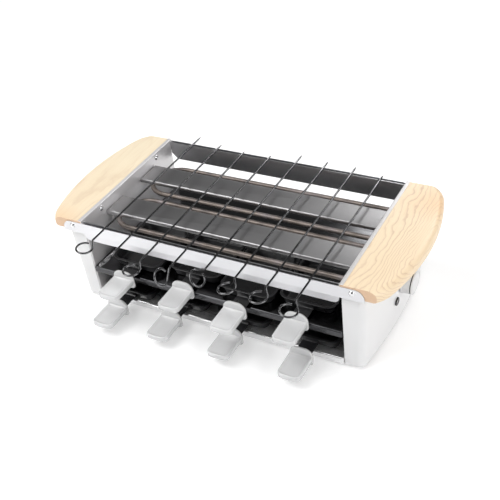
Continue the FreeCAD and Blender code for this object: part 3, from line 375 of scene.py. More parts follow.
# pale board with long flame-shaped rings, fine fibres and a warm patch, all along Y
def paleWood(name, pale, heart, warm, depth):
    rough = woodLook["rough"]
    finish = Finish(name, pale, rough=rough, coat=woodLook["coat"], coatRough=woodLook["coatRough"])
    sway = finish.node("ShaderNodeVectorMath", operation="MULTIPLY_ADD")
    sway.inputs[1].default_value = (woodLook["wander"], woodLook["wander"] * 2.0, 0.01)
    finish.link(finish.noise(13.0, 5.0, 0.5, (1.0, 0.5, 1.0), "Color"), sway.inputs[0])
    finish.link(finish.place, sway.inputs[2])
    board = finish.mapped((1.0, woodLook["squeeze"], 0.8), heart, sway.outputs["Vector"])
    saw = finish.math("FRACT", finish.math("MULTIPLY", finish.length(board), woodLook["rings"]))
    ring = finish.ramp(saw, woodLook["ringShape"])
    faint = finish.spread(finish.noise(16.0, 3.0, 0.5, (1, 0.3, 1)), 0.1 * depth, depth, 0.38, 0.62)
    soft = finish.math("MULTIPLY", ring, faint)
    fibres = finish.noise(1.0, 3.0, 0.6, (900, 22, 900))
    spot = finish.node("ShaderNodeVectorMath", operation="DISTANCE")
    spot.inputs[1].default_value = warm
    finish.link(finish.place, spot.inputs[0])
    patch = finish.spread(spot.outputs["Value"], woodLook["warmth"], 0.0, woodLook["warmInside"],
                          woodLook["warmReach"])
    clouds = finish.spread(finish.noise(7.0, 2.0, 0.5, (1, 0.35, 1)), 0.0, 0.3)
    toned = finish.mix(finish.math("MAXIMUM", patch, clouds), pale, woodLook["tint"])
    grained = finish.mix(soft, toned, woodLook["late"])
    darkFibre = finish.math("MULTIPLY", finish.spread(fibres, 0.0, 1.0, 0.5, 0.8), woodLook["fibreShare"])
    finish.into(finish.mix(darkFibre, grained, woodLook["fibre"]), "Base Color")
    finish.roughness(fibres, rough - 0.05, rough + 0.1)
    finish.bump(fibres, 0.10, 0.00015)
    return finish.material


endLook = {
    "base": (0.90, 0.64, 0.44), "dark": (0.62, 0.41, 0.26), "rings": 380.0, "squeeze": (1.0, 0.02, 1.6),
    "share": 0.38, "rough": 0.55,
}


# the sawn ends of the boards: browner, with short curved ring lines
def sawnEnds(name, heart):
    finish = Finish(name, endLook["base"], rough=endLook["rough"])
    reach = finish.length(finish.mapped(endLook["squeeze"], heart))
    rings = finish.math("FRACT", finish.math("MULTIPLY", reach, endLook["rings"]))
    pores = finish.noise(1.0, 2.0, 0.5, (1500, 60, 1500))
    dark = finish.math("MULTIPLY", finish.math("ADD", rings, pores), endLook["share"])
    finish.into(finish.mix(dark, endLook["base"], endLook["dark"]), "Base Color")
    finish.bump(pores, 0.2, 0.0002)
    return finish.material


heatedLook = {
    "base": (0.17, 0.155, 0.15), "metal": 0.85, "rough": 0.42, "patch": 30.0,
    "straw": [(0.3, (0.10, 0.09, 0.09)), (0.5, (0.20, 0.17, 0.15)), (0.72, (0.27, 0.24, 0.24))],
}


def heatedTube(name):
    finish = Finish(name, heatedLook["base"], metal=heatedLook["metal"], rough=heatedLook["rough"])
    patches = finish.noise(heatedLook["patch"], 4.0, 0.55)
    finish.into(finish.ramp(patches, heatedLook["straw"]), "Base Color")
    finish.roughness(patches, 0.35, 0.52)
    finish.bump(finish.noise(400.0, 2.0), 0.08)
    return finish.material


finishes = {
    "rail_steel": polishedSteel("railSteel", rough=0.34),
    "wall_steel": polishedSteel("wallSteel", (0.92, 0.90, 0.905), 0.4, along=(260, 5, 260), metal=0.5),
    # the middle shelf gets a darkened copy of the deck steel: painted shade under the pans
    "deck_black": polishedSteel("shelfSteelPaintedShade", (0.08, 0.08, 0.084), 0.16),
    "deck_steel": polishedSteel("deckSteel", (0.90, 0.90, 0.905), 0.3, metal=0.85),
    "panel_silver": lacquer("panelLacquer", (0.86, 0.86, 0.865), 0.32),
    "screw_steel": polishedSteel("screwSteel", (0.82, 0.82, 0.83), 0.16, along=(90, 90, 90)),
    "foot_rubber": darkCoating("footRubber", (0.035, 0.035, 0.036), 0.7, 500.0),
    "tube_steel": heatedTube("tubeSteel"),
    "bushing_ceramic": moulded("bushingCeramic", (0.82, 0.79, 0.73), 0.45, 0.0),
    "block_plastic": moulded("blockPlastic", (0.72, 0.69, 0.60), 0.5, 0.0),
    "knob_plastic": moulded("knobPlastic", (0.80, 0.80, 0.80), 0.30, 0.3),
    "trim_black": moulded("trimBlack", (0.008, 0.008, 0.009), 0.3, 0.2),
    "lamp_lens": moulded("lampLens", (0.36, 0.35, 0.35), 0.16, 0.8),
    # the wire steel's colour is darkened to 0.14: painted dark reflections on the wires
    "skewer_steel": polishedSteel("skewerSteelPaintedDark", (0.14, 0.14, 0.144), 0.07, along=(300, 8, 300)),
    "pan_coating": darkCoating("panCoating", (0.010, 0.010, 0.011), 0.3),
    "handle_plastic": moulded("handlePlastic", (0.70, 0.702, 0.705), 0.2, 0.5, clear=0.25),
}
woodFinishes = {
    "Left": paleWood("woodLeft", (0.97, 0.85, 0.64), (0.172, -0.012, 0.052), (-0.215, -0.10, 0.13), 0.35),
    "Right": paleWood("woodRight", (0.96, 0.80, 0.57), (-0.176, -0.010, 0.048), (0.228, 0.095, 0.125), 0.75),
}
endGrain = {
    "Left": sawnEnds("endGrainLeft", (0.20, 0.0, -0.06)),
    "Right": sawnEnds("endGrainRight", (-0.20, 0.0, -0.06)),
}
# the heat plates get a darker copy of the wall steel: painted shade for plates deep inside the body
shadedPlatesFinish = polishedSteel("heatPlatesShaded", (0.40, 0.395, 0.40), 0.36)
slotOf = {row["node"]: row["material_slot"] for row in record["subparts"]}
for name, item in nodes.items():
    item.data.materials.clear()
    item.data.materials.append(finishes.get(slotOf[name], woodFinishes["Right"]))
print("materials made")

rail = {
    "half": 205.0, "sheet": 1.0, "face": 15.25, "lower": 10.75, "lean": 2.0, "channel": 5.5,
    "tabRadius": 12.0, "endRadius": 9.0, "inside": 174.9, "notches": 8, "pitch": 40.25, "notchDepth": 3.0,
    "notchHalf": 1.3, "notchFlare": 0.5, "bevel": 0.16,
}


# the top edge from right to left, with its notches
def notchedTop(startX, endX):
    half, flare = rail["notchHalf"], rail["notchFlare"]
    points = [(startX, railTop)]
    for index in range(rail["notches"]):
        x = ((rail["notches"] - 1) / 2 - index) * rail["pitch"]
        bottom = railTop - rail["notchDepth"] + half
        points += [(x + half + flare, railTop), (x + half, railTop - flare)]
        points += arcPoints((x, bottom), half, 0, -180, 8)
        points += [(x - half, railTop - flare), (x - half - flare, railTop)]
    return points + [(endX, railTop)]


def makeRail(name, node, matrix):
    crease = railTop - rail["face"]
    bottom = crease - rail["lower"]
    half, inside, radius = rail["half"], rail["inside"], rail["tabRadius"]
    sheet, end, channel = rail["sheet"], rail["endRadius"], rail["channel"]

    def lean(z):
        return rail["lean"] * (crease - z) / rail["lower"]

    upper = [(half, crease), (half, railTop - radius)]
    upper += arcPoints((half - radius, railTop - radius), radius, 0, 90, 10)[1:-1]
    upper += notchedTop(half - radius, radius - half)
    upper += arcPoints((radius - half, railTop - radius), radius, 90, 180, 10)[1:-1]
    upper += [(-half, railTop - radius), (-half, crease)]
    lower = [(inside, crease), (inside, bottom + end)]
    lower += arcPoints((inside - end, bottom + end), end, 0, -90, 8)[1:]
    lower += arcPoints((end - inside, bottom + end), end, -90, -180, 8) + [(-inside, crease)]
    inner = [(inside, bottom + end), (inside, railTop)] + notchedTop(inside, -inside)[1:-1]
    inner += [(-inside, railTop), (-inside, bottom + end)]
    inner += [(end - inside, bottom), (inside - end, bottom)]
    floor = [(inside - end, bottom), (inside - end, bottom + sheet)]
    floor += [(end - inside, bottom + sheet), (end - inside, bottom)]
    part = joinParts([
        plate(upper, 0, sheet),
        plate(lower, 0, sheet, lean),
        plate(floor, rail["lean"], channel),
        plate(inner, channel - sheet, channel),
    ])
    makePiece(name, moveParts(part, matrix), "frame", [node], "rail_steel", bevel=rail["bevel"])


makeRail("frontRail", "front_rail", Matrix.Translation((0, frontFace, 0)))
makeRail("backRail", "back_rail", Matrix.Translation((0, backFace, 0)) @ Matrix.Rotation(math.pi, 4, "Z"))
print("rails made")

deck = {"sheet": 0.8, "bend": 1.9, "corner": 1.6, "leastCorner": 0.4}


# decks and heat plates: shallow trays turned upside down
def makeDeck(name, node, slot, material=None):
    low, high = nodeBox(node)
    bend, sheet = deck["bend"], deck["sheet"]

    def ring(inset, z):
        corner = max(deck["corner"] - inset, deck["leastCorner"])
        outline = roundBox(high.x - inset, low.y + inset, high.y - inset, corner, 4)
        return [(x, y, z) for x, y in outline]

    def roundedEdge(radius, steps):
        arc = []
        for step in steps:
            angle = math.radians(90 * step / 5)
            arc.append(ring(bend - radius * math.sin(angle), high.z - bend + radius * math.cos(angle)))
        return arc

    rings = roundedEdge(bend - sheet, range(6)) + [ring(sheet, low.z), ring(0, low.z)]
    rings += roundedEdge(bend, range(5, -1, -1))
    makePiece(name, skin(rings), "frame", [node], slot, material, sharp=40)


makeDeck("basePlate", "base_plate", "deck_steel")
makeDeck("middleShelf", "middle_shelf", "deck_black")
for end in ("front", "rear"):
    makeDeck("heatDeflector" + end.capitalize(), "heat_deflector_" + end, "wall_steel", shadedPlatesFinish)
print("decks made")

wall = {"sheet": 0.8, "flange": 5.0, "hem": 5.0, "bend": 1.3, "lower": 103.5, "upper": 107.75, "split": 111.2}


# the outline of a sheet bent along a run of points, with rounded bends: one face, then the other
def foldedStrip(points, sheet, bend):
    left, right = [], []
    for index, point in enumerate(points):
        point = Vector(point)
        before = (point - Vector(points[index - 1])).normalized() if index else None
        after = (Vector(points[index + 1]) - point).normalized() if index + 1 < len(points) else None
        if before is None or after is None:
            along = after or before
            normal = Vector((-along.y, along.x))
            left.append(tuple(point))
            right.append(tuple(point + normal * sheet))
            continue
        turn = before.angle_signed(after)
        start = point - before * bend * math.tan(abs(turn) / 2)
        inward = -1 if turn > 0 else 1
        centre = start + Vector((-before.y, before.x)) * bend * inward
        for step in range(7):
            arm = Matrix.Rotation(-turn * step / 6, 2) @ (start - centre)
            left.append(tuple(centre + arm))
            right.append(tuple(centre + arm * ((bend - sheet * inward) / bend)))
    return left + right[::-1]


# inner walls: a folded sheet with a hem over the wood
def makeInnerWall(name, node, side):
    low, high = nodeBox(node)
    face = min(abs(low.x), abs(high.x))
    sheet, bend, split, lowerY = wall["sheet"], wall["bend"], wall["split"], wall["lower"]
    near, far = face + sheet, face + sheet + wall["flange"]

    def upright(outline, levels):
        return skin([[(side * x, y + midDepth, z) for x, y in outline] for z in levels])

    plan = foldedStrip([(far, -lowerY), (face, -lowerY), (face, lowerY), (far, lowerY)], -sheet, bend)
    section = foldedStrip([(face + wall["hem"], high.z), (face, high.z), (face, split)], sheet, bend)
    hemEnds = (-wall["upper"], wall["upper"])
    hemmed = skin([[(side * x, y + midDepth, z) for x, z in section] for y in hemEnds])
    floor = [(near, sheet - lowerY), (far, sheet - lowerY), (far, lowerY - sheet), (near, lowerY - sheet)]
    part = joinParts([upright(plan, (low.z, split)), hemmed, upright(floor, (low.z, low.z + sheet))])
    makePiece(name, part, "frame", [node], "wall_steel", sharp=35)


makeInnerWall("innerWallLeft", "inner_wall_left", -1)
makeInnerWall("innerWallRight", "inner_wall_right", 1)
print("inner walls made")

wood = {
    "reach": 243.0, "arc": 307.0, "cornerArc": 40.0, "cornerDepth": 17.5, "topRadius": 8.0, "lowRadius": 3.0,
    "soften": 0.3, "endFacing": 0.97,
}


# the board's outline at one height, drawn in by an inset, and sawn off square at both ends
def woodRing(inset, z, side, inside, depth):
    middle = wood["reach"] - wood["arc"]
    kneeY = depth - wood["cornerDepth"]
    kneeRun = math.sqrt(wood["arc"] ** 2 - kneeY ** 2)
    share = 1 - wood["cornerArc"] / wood["arc"]
    cornerX, cornerY = middle + kneeRun * share, kneeY * share
    knee = math.degrees(math.atan2(kneeY, kneeRun))
    turn = math.degrees(math.asin((depth - cornerY) / wood["cornerArc"]))
    corner = arcPoints((cornerX, cornerY), wood["cornerArc"] - inset, knee, turn, 10)
    lastX, lastY = corner[-1]
    endX = lastX - (depth - lastY) * math.tan(math.radians(turn))
    half = corner[1:] + [(endX, depth), (inside, depth)]
    points = [(x, -y) for x, y in reversed(half)]
    points += arcPoints((middle, 0), wood["arc"] - inset, -knee, knee, 40)
    points += half
    return [(side * x, y + midDepth, z) for x, y in points]


def makeWoodHandle(hand, node, side):
    low, high = nodeBox(node)
    inside = min(abs(low.x), abs(high.x))
    depth = (high.y - low.y) / 2
    lowRadius, topRadius = wood["lowRadius"], wood["topRadius"]
    rings = []
    for step in range(6):
        angle = math.radians(90 * step / 5)
        rings.append((lowRadius * (1 - math.sin(angle)), low.z + lowRadius * (1 - math.cos(angle))))
    for step in range(11):
        angle = math.radians(90 * step / 10)
        rings.append((topRadius * (1 - math.cos(angle)), high.z - topRadius * (1 - math.sin(angle))))
    part = skin([woodRing(inset, z, side, inside, depth) for inset, z in rings])
    piece = makePiece("woodHandle" + hand, part, "frame", [node], "wood_beech", woodFinishes[hand], sharp=40,
                      bevel=wood["soften"])
    piece.data.materials.append(endGrain[hand])
    for face in piece.data.polygons:
        if abs(face.normal.y) > wood["endFacing"]:
            face.material_index = 1


makeWoodHandle("Left", "wood_handle_left", -1)
makeWoodHandle("Right", "wood_handle_right", 1)
print("wooden handles made")

panel = {
    "reach": 207.5, "arc": 607.0, "corner": 9.5, "lean": 0.045, "setback": 4.25, "sheet": 1.0,
    "inside": 176.3, "foot": 4.0, "roll": 1.4,
}


# the panel's run in plan at one height, from the front end round to the rear end
def panelRun(z, inset):
    shift = panel["lean"] * (z - panel["foot"])
    halfDepth = (backFace - frontFace) / 2 - panel["setback"]
    arc, corner = panel["arc"], panel["corner"]
    centre = panel["reach"] + shift - arc
    cornerY = halfDepth - corner
    cornerX = centre + math.sqrt((arc - corner) ** 2 - cornerY ** 2)
    swing = math.degrees(math.asin(cornerY / (arc - corner)))
    points = [(panel["inside"], inset - halfDepth)]
    points += arcPoints((cornerX, -cornerY), corner - inset, -90, -swing, 10)
    points += arcPoints((centre, 0), arc - inset, -swing, swing, 36)[1:-1]
    points += arcPoints((cornerX, cornerY), corner - inset, swing, 90, 10)
    points.append((panel["inside"], halfDepth - inset))
    return points


def makeSidePanel(name, node, side):
    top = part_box(node)[1].z / mm
    foot, sheet, roll = panel["foot"], panel["sheet"], panel["roll"]
    rings = []

    def addRing(z, inset):
        rings.append([(side * x, y + midDepth, z) for x, y in panelRun(z, inset)])

    addRing(foot + roll + sheet, sheet)
    addRing(foot + sheet * 0.4, sheet)
    for step in range(5):  # the rolled lower edge
        angle = math.radians(90 * step / 4)
        addRing(foot + roll * 0.6 * (1 - math.sin(angle)), sheet * 0.45 * (1 - math.sin(angle)))
    addRing(foot + roll, 0.0)
    for step in range(1, 7):
        addRing(foot + roll + (top - foot - roll) * step / 6, 0.0)
    addRing(top, sheet)
    for step in range(5, 0, -1):
        addRing(foot + roll + sheet + (top - foot - roll - sheet) * step / 6, sheet)
    rings.append(rings[0])
    verts, faces = skin(rings, capStart=False, capEnd=False, closed=False)
    count = len(rings[0])
    for column in (0, count - 1):
        faces.append(tuple(row * count + column for row in range(len(rings) - 1)))
    makePiece(name, (verts, faces), "frame", [node], "panel_silver", sharp=35)


makeSidePanel("sidePanelLeft", "side_panel_left", -1)
makeSidePanel("sidePanelRight", "side_panel_right", 1)
print("side panels made")

pan = {
    "count": 8, "rimHalf": 37.0, "length": 90.0, "corner": 13.2, "leastCorner": 2.5, "neck": 22.0,
    "wallFoot": 4.9, "wallFootLevel": 1.7, "wallSlope": 0.26, "wallGap": 0.25,
    "strapHalf": 10.0, "strapReach": 19.9, "strapLow": 4.2, "strapHigh": 5.2, "strapTab": 10.2,
    "strapThick": 1.1,
    "strapBend": [(2.6, 1.4), (3.4, 0.4), (4.6, 0.0)],
    "section": [(6.6, 0.0), (5.7, 0.25), (5.1, 0.9), (4.9, 1.7), (2.3, 11.7), (1.9, 12.05), (1.0, 12.15),
                (0.3, 12.2), (0.0, 12.5), (0.25, 12.85), (0.9, 13.0), (2.6, 13.0), (3.2, 12.8), (3.5, 12.3),
                (6.0, 2.6), (6.5, 1.6), (7.6, 1.05), (9.5, 1.0)],
}


# a dish from its foot over the rim down to its floor, and the strap that holds the handle
def makePanDish(number):
    node = f"pan_dish_{number}"
    low, high = nodeBox(node)
    centreX = (low.x + high.x) / 2
    nearY = high.y - pan["length"]
    rings = []
    for inset, z in pan["section"]:
        corner = max(pan["corner"] - inset, pan["leastCorner"])
        outline = roundBox(pan["rimHalf"] - inset, inset, pan["length"] - inset, corner)
        rings.append([(centreX + x, nearY + y, low.z + z) for x, y in outline])

    def wallAt(z):
        return nearY + pan["wallFoot"] - pan["wallSlope"] * (z - pan["wallFootLevel"]) + pan["wallGap"]

    half, strapLow, strapHigh, tab = pan["strapHalf"], pan["strapLow"], pan["strapHigh"], pan["strapTab"]
    startY = nearY - pan["neck"] - pan["strapReach"]
    section = [(startY, strapLow), (wallAt(strapLow), strapLow)]
    section += [(wallAt(tab), tab), (wallAt(tab) - pan["strapThick"], tab)]
    section += [(wallAt(strapHigh) - back, strapHigh + up) for back, up in pan["strapBend"]]
    section.append((startY, strapHigh))
    strap = skin([[(centreX + x, y, low.z + z) for y, z in section] for x in (-half, half)])
    part = joinParts([skin(rings), strap])
    makePiece(f"panDish{number}", part, f"pan_{number}", [node], "pan_coating", sharp=42)


handle = {
    "guardHalf": 15.2, "guardTop": 17.3, "guardDrop": 6.0, "guardThick": 3.0, "guardRound": 0.9,
    "shoulder": 11.0, "heel": 4.5,
    "gripHalf": 14.6, "gripLength": 38.0, "gripTop": 7.9, "tip": 6.5, "leastTip": 1.2, "bow": 0.56,
    "blunt": 0.1, "overlap": 1.5, "topEdge": 1.4, "lowEdge": 2.0,
    "section": [(2.4, 5.2), (2.4, 1.4), (2.0, 0.95), (1.2, 0.9), (0.5, 1.0), (0.0, 1.6), (0.0, 6.6),
                (0.25, 7.4), (0.8, 7.85), (1.5, 7.9), (2.2, 7.7), (2.8, 7.25), (3.8, 7.05), (6.5, 7.0)],
}


# the grip in plan, from the guard along one side, round the bowed tip and back
def gripOutline(inset):
    half = handle["gripHalf"] - inset
    length = handle["gripLength"] - inset
    tip = max(handle["tip"] - inset, handle["leastTip"])
    overlap = handle["overlap"]
    points = [(half, overlap), (half, 0.0)]
    points += arcPoints((half - tip, tip - length), tip, 0, -80, 7)
    startX = points[-1][0]
    for step in range(1, 9):
        x = startX * (1 - 2 * step / 9)
        points.append((x, -length - handle["bow"] * (1 - (x / startX) ** 2) + handle["blunt"]))
    points += arcPoints((tip - half, tip - length), tip, -100, -180, 7)
    return points + [(-half, 0.0), (-half, overlap)]


def makeGrip(centreX, backY, base):
    thick = handle["guardThick"]
    shorten = 1.0 - handle["bow"] / handle["gripLength"]
    rings = []
    for inset, z in handle["section"]:
        rounded = z > handle["gripTop"] - handle["topEdge"] or z < handle["lowEdge"]
        drawnIn = -inset if rounded else 0.0  # at the end inside the guard
        ring = []
        for x, y in gripOutline(inset):
            ring.append((centreX + x, backY - thick + (y * shorten + (drawnIn if y > 0 else 0.0)), base + z))
        rings.append(ring)
    return skin(rings)


def makeGuard(centreX, backY, base):
    half, top, drop = handle["guardHalf"], handle["guardTop"], -handle["guardDrop"]
    rounding, thick = handle["guardRound"], handle["guardThick"]
    rings = []
    for step in range(9):
        angle = math.radians(180 * step / 8)
        inset = rounding * (1 - math.sin(angle))
        y = -thick + rounding * (1 - math.cos(angle)) if step <= 4 else -rounding * (1 + math.cos(angle))
        edge, crown, low = half - inset, top - inset, drop + inset
        heel, arch = handle["heel"] - inset, handle["shoulder"] - inset
        outline = arcPoints((heel - edge, low + heel), heel, 180, 270, 5)
        outline += arcPoints((edge - heel, low + heel), heel, 270, 360, 5)
        outline += arcPoints((edge - arch, crown - arch), arch, 0, 90, 9)
        outline += arcPoints((arch - edge, crown - arch), arch, 90, 180, 9)
        rings.append([(centreX + x, backY + y, base + z) for x, z in outline])
    return skin(rings)


def makePanHandle(number):
    node = f"pan_handle_{number}"
    low, high = nodeBox(node)
    place = ((low.x + high.x) / 2, high.y, high.z - handle["guardTop"])
    part = joinParts([makeGrip(*place), makeGuard(*place)])
    makePiece(f"panHandle{number}", part, f"pan_{number}", [node], "handle_plastic", sharp=45)


for number in range(1, pan["count"] + 1):
    makePanDish(number)
    makePanHandle(number)
print("pans made")

skewer = {
    "wire": 1.25, "length": 263.0, "point": 8.0, "pointRadius": 0.12, "taper": 0.62, "cutEnd": 0.8,
    "ring": 10.0, "ahead": 17.0, "sweep": 302.0, "bend": 4.0,
    "turns": [6.0, 142.0, 2.0, 65.0, 229.0, 354.0, 359.0, 9.0],
}


# from the point to the bend and once round the ring
def skewerPath():
    ring, ahead, bend = skewer["ring"], skewer["ahead"], skewer["bend"]
    length, point, wire = skewer["length"], skewer["point"], skewer["wire"]
    slant = math.degrees(math.asin(ring / ahead))
    trim = bend * math.tan(math.radians(slant) / 2)
    path = [(0, length), (0, length - point * 0.5), (0, length - point)]
    path += [(0, length - point - step * 25) for step in range(1, 10)]
    path += arcPoints((bend, trim), bend, 180, 180 + slant, 5)
    path += arcPoints((0, -ahead), ring, slant, slant - skewer["sweep"], 44)
    radii = [skewer["pointRadius"], wire * skewer["taper"]]
    radii += [wire] * (len(path) - 3) + [wire * skewer["cutEnd"]]
    return path, radii


def makeSkewer(number):
    name = f"skewer_{number}"
    axis = Vector(joints[name + "_turn"]["pos_m"]) / mm
    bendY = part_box(name)[1].y / mm - skewer["length"]
    turn = Matrix.Rotation(math.radians(skewer["turns"][number - 1]), 4, "Y")
    place = Matrix.Translation((axis.x, bendY, axis.z)) @ turn
    part = moveParts(tube(*skewerPath()), place)
    makePiece(f"skewerWire{number}", part, name, [name], "skewer_steel", sharp=60)


for number in range(1, len(skewer["turns"]) + 1):
    makeSkewer(number)
print("skewers made")

heater = {"radius": 3.25, "pin": 1.25, "pinLength": 7.0, "pinTip": 0.9, "pinTipLength": 0.3}


def makeHeatingTube(name, node):
    low, high = nodeBox(node)
    radius, pin = heater["radius"], heater["pin"]
    level = (low.z + high.z) / 2
    nearY, farY = low.y + radius, high.y - radius
    bend = (farY - nearY) / 2
    centreX = low.x + radius + bend
    endX = high.x - heater["pinLength"]
    straight = [endX - (endX - centreX) * step / 10 for step in range(11)]
    path = [(x, nearY) for x in straight]
    path += arcPoints((centreX, (nearY + farY) / 2), bend, 270, 90, 24)[1:-1]
    path += [(x, farY) for x in reversed(straight)]
    parts = [tube(path, radius, 20, level)]
    for y in (nearY, farY):
        pinPath = [(endX - 1, y), (high.x - heater["pinTipLength"], y), (high.x, y)]
        parts.append(tube(pinPath, [pin, pin, heater["pinTip"]], 14, level))
    makePiece(name, joinParts(parts), "frame", [node], "tube_steel", sharp=50)


makeHeatingTube("heatingTubeFront", "heating_element_front")
makeHeatingTube("heatingTubeRear", "heating_element_rear")
print("heating tubes made")

knob = {
    "level": 60.4, "lampLevel": 42.5, "lampAside": -20.75,
    "profile": [(5.5, 3.1), (5.5, 11.5), (1.3, 11.5), (1.0, 11.9), (1.0, 15.5), (1.2, 16.0), (1.7, 16.2),
                (3.0, 16.2), (3.4, 15.7), (12.0, 15.3), (12.15, 15.1), (12.2, 13.4), (13.5, 13.4),
                (13.55, 15.2), (13.75, 15.5), (14.9, 15.5), (15.3, 15.2), (15.5, 14.6), (15.5, 13.7),
                (15.3, 13.5), (14.9, 13.4), (14.7, 13.1), (14.7, 12.9), (14.9, 12.6), (15.3, 12.5),
                (15.5, 12.3), (15.5, 0.02)],
    # ring: a black ring that fills the knob's groove, painted shade in the groove
    "ring": [(12.25, 13.4), (12.25, 14.5), (12.5, 14.75), (13.2, 14.75), (13.45, 14.5), (13.45, 13.4)],
    "lamp": [(-16.0, 0.02), (-16.0, 3.6), (0.6, 3.6), (1.35, 3.3), (1.7, 2.2), (1.8, 0.02)],
    "bezel": [(0.3, 3.65), (0.3, 5.3), (0.7, 5.5), (1.5, 5.3), (2.0, 4.7), (2.1, 4.1), (1.9, 3.7),
              (0.3, 3.65)],
}


# a place on the right panel's face, with X along the face's normal
def leaningPlace(level, offset):
    lean, arc = panel["lean"], panel["arc"]
    centre = panel["reach"] + lean * (level - panel["foot"]) - arc
    x = centre + math.sqrt(arc ** 2 - offset ** 2)
    return Matrix.Translation((x, midDepth + offset, level)) @ Matrix.Rotation(math.atan(lean), 4, "Y")


def makeTurned(name, replaced, profile, place, body, slot):
    part = moveParts(turnedPart(knob[profile], 64), place)
    makePiece(name, part, body, replaced, slot, sharp=30)


knobPlace = leaningPlace(knob["level"], 0.0)
lampPlace = leaningPlace(knob["lampLevel"], knob["lampAside"])
makeTurned("knobCap", ["knob"], "profile", knobPlace, "knob", "knob_plastic")
# the black ring in the knob's groove is painted shade
makeTurned("knobGrooveShade", [], "ring", knobPlace, "knob", "trim_black")
makeTurned("pilotLamp", ["pilot_lamp"], "lamp", lampPlace, "frame", "lamp_lens")
makeTurned("pilotLampBezel", ["pilot_lamp_bezel"], "bezel", lampPlace, "frame", "trim_black")
print("knob and lamp made")

screws = {
    "radius": 3.75, "height": 2.2, "shank": 1.75, "length": 18.0, "centre": 0.02,
    "railX": 190.0, "railDrop": 6.0, "handleX": 175.2, "handleY": 66.0, "handleDrop": 4.0,
}


# a screw along X, from the shank's end to the top of its domed head
def domeProfile():
    radius, height, shank, length = (screws[key] for key in ("radius", "height", "shank", "length"))
    centre = screws["centre"]
    sphere = (radius ** 2 + height ** 2) / (2 * height)
    reach = math.asin(radius / sphere)
    profile = [(-length, centre), (-length, shank * 0.6), (1 - length, shank)]
    profile += [(-0.05, shank), (0.0, radius * 0.97)]
    for step in range(9):
        angle = reach * (1 - step / 8)
        profile.append((sphere * math.cos(angle) - sphere + height, max(sphere * math.sin(angle), centre)))
    return profile


def makeScrews(name, node, places):
    parts = []
    for place, along in places:
        matrix = Matrix.Translation(place) @ Vector(along).to_track_quat("X", "Z").to_matrix().to_4x4()
        parts.append(moveParts(turnedPart(domeProfile(), 32), matrix))
    makePiece(name, joinParts(parts), "frame", [node], "screw_steel", sharp=40)


corners = [(side, end) for side in (-1, 1) for end in (-1, 1)]
railLevel = railTop - screws["railDrop"]
handleLevel = railTop - screws["handleDrop"]
makeScrews("railScrews", "rail_screws", [
    ((side * screws["railX"], frontFace if end < 0 else backFace, railLevel), (0, end, 0))
    for side, end in corners])
makeScrews("handleScrews", "handle_screws", [
    ((side * screws["handleX"], midDepth + end * screws["handleY"], handleLevel), (-side, 0, 0))
    for side, end in corners])
print("screws made")

# the studio, in metres; lamps are (name, place, target, width, height, power)
studio = {
    "floor": (0.82, 0.82, 0.82), "floorCloud": (0.85, 0.85, 0.852), "floorHalf": 12, "glow": 0.34,
    "fadeStart": 1.2, "fadeEnd": 4.0, "sky": 0.80,
    "gradient": [(0.0, 0.75), (0.45, 0.62), (0.54, 0.34), (0.70, 0.16), (0.84, 0.16), (0.92, 0.9),
                 (1.0, 1.0)],
    "lamps": [
        ("keyLamp", (-0.9, -0.6, 1.7), (0, 0, 0.05), 1.4, 1.1, 20.0),
        ("fillLamp", (1.9, -0.5, 0.8), (0, 0, 0.06), 1.2, 1.0, 18.0),
        ("rimLamp", (0.3, 1.6, 1.2), (0, 0, 0.08), 1.6, 0.2, 9.0),
        ("frontLamp", (-1.0, -1.4, 0.5), (-0.1, 0, 0.06), 0.8, 0.5, 7.0),
    ],
}


def makeFloor():
    half = studio["floorHalf"]
    mesh = bpy.data.meshes.new("floor")
    square = [(-half, -half, 0), (half, -half, 0), (half, half, 0), (-half, half, 0)]
    mesh.from_pydata(square, [], [(0, 1, 2, 3)])
    floor = bpy.data.objects.new("floor", mesh)
    scene.collection.objects.link(floor)
    finish = Finish("floorPaper", studio["floor"], rough=0.55, specular=0.25)
    finish.tones(finish.noise(2.0, 3.0), studio["floor"], studio["floorCloud"])
    finish.set("Emission Color", (1, 1, 1, 1))
    path = finish.node("ShaderNodeLightPath")
    seen = finish.math("MAXIMUM", path.outputs["Is Camera Ray"], path.outputs["Is Glossy Ray"])
    # the far floor fades into white
    glow = finish.spread(finish.length(finish.place), studio["glow"], 1.0, studio["fadeStart"],
                         studio["fadeEnd"])
    finish.into(finish.math("MULTIPLY", seen, glow), "Emission Strength")
    mesh.materials.append(finish.material)


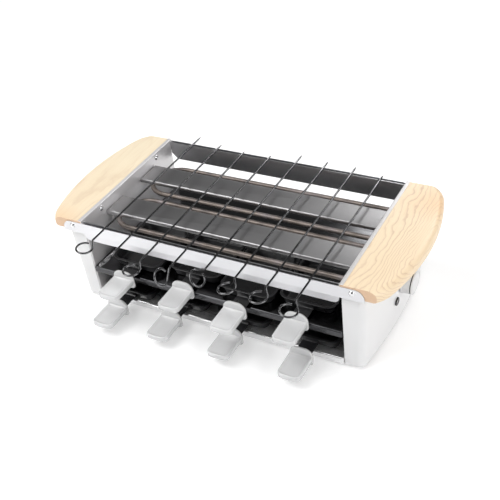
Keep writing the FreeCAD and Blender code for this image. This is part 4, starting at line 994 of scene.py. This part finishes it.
# white where it is seen, and a soft gradient by height for light and reflections
def makeWorld():
    world = bpy.data.worlds.new("studio")
    scene.world = world
    world.use_nodes = True
    sky = NodeTree(world.node_tree)
    background = sky.tree.nodes["Background"]
    path = sky.node("ShaderNodeLightPath")
    seen = sky.math("MAXIMUM", path.outputs["Is Camera Ray"], path.outputs["Is Transmission Ray"])
    split = sky.node("ShaderNodeSeparateXYZ")
    sky.link(sky.coordinates["Generated"], split.inputs["Vector"])
    height = sky.spread(split.outputs["Z"], 0.0, 1.0, -1.0, 1.0)
    shown = sky.mix(seen, sky.ramp(height, studio["gradient"]), (1, 1, 1))
    sky.link(sky.spread(seen, studio["sky"], 1.0, 0.0, 1.0), background.inputs["Strength"])
    sky.link(shown, background.inputs["Color"])


def makeLamp(name, place, target, width, height, power):
    light = bpy.data.lights.new(name, "AREA")
    light.shape = "RECTANGLE"
    light.size = width
    light.size_y = height
    light.energy = power
    lamp = bpy.data.objects.new(name, light)
    scene.collection.objects.link(lamp)
    lamp.location = place
    lamp.rotation_mode = "QUATERNION"
    lamp.rotation_quaternion = (Vector(target) - Vector(place)).to_track_quat("-Z", "Y")


view = {
    "place": (0.4742, -0.726575, 0.7103), "azimuth": 32.35, "elevation": 36.71, "roll": -7.52,
    "lens": 60.81, "sensor": 36.0, "near": 0.01, "far": 50.0,
}


def makeCamera():
    azimuth, elevation, roll = (math.radians(view[key]) for key in ("azimuth", "elevation", "roll"))
    level = math.cos(elevation)
    back = Vector((math.sin(azimuth) * level, -math.cos(azimuth) * level, math.sin(elevation)))
    right = Vector((math.cos(azimuth), math.sin(azimuth), 0))
    up = back.cross(right)
    turned = right * math.cos(roll) + up * math.sin(roll)
    raised = up * math.cos(roll) - right * math.sin(roll)
    lens = bpy.data.cameras.new("camera")
    lens.lens = view["lens"]
    lens.sensor_width = view["sensor"]
    lens.clip_start = view["near"]
    lens.clip_end = view["far"]
    camera = bpy.data.objects.new("camera", lens)
    scene.collection.objects.link(camera)
    matrix = Matrix((turned, raised, back)).transposed().to_4x4()
    matrix.translation = Vector(view["place"])
    camera.matrix_world = matrix
    scene.camera = camera


makeFloor()
makeWorld()
for lamp in studio["lamps"]:
    makeLamp(*lamp)
makeCamera()
scene.view_settings.view_transform = "Standard"
print("studio made")
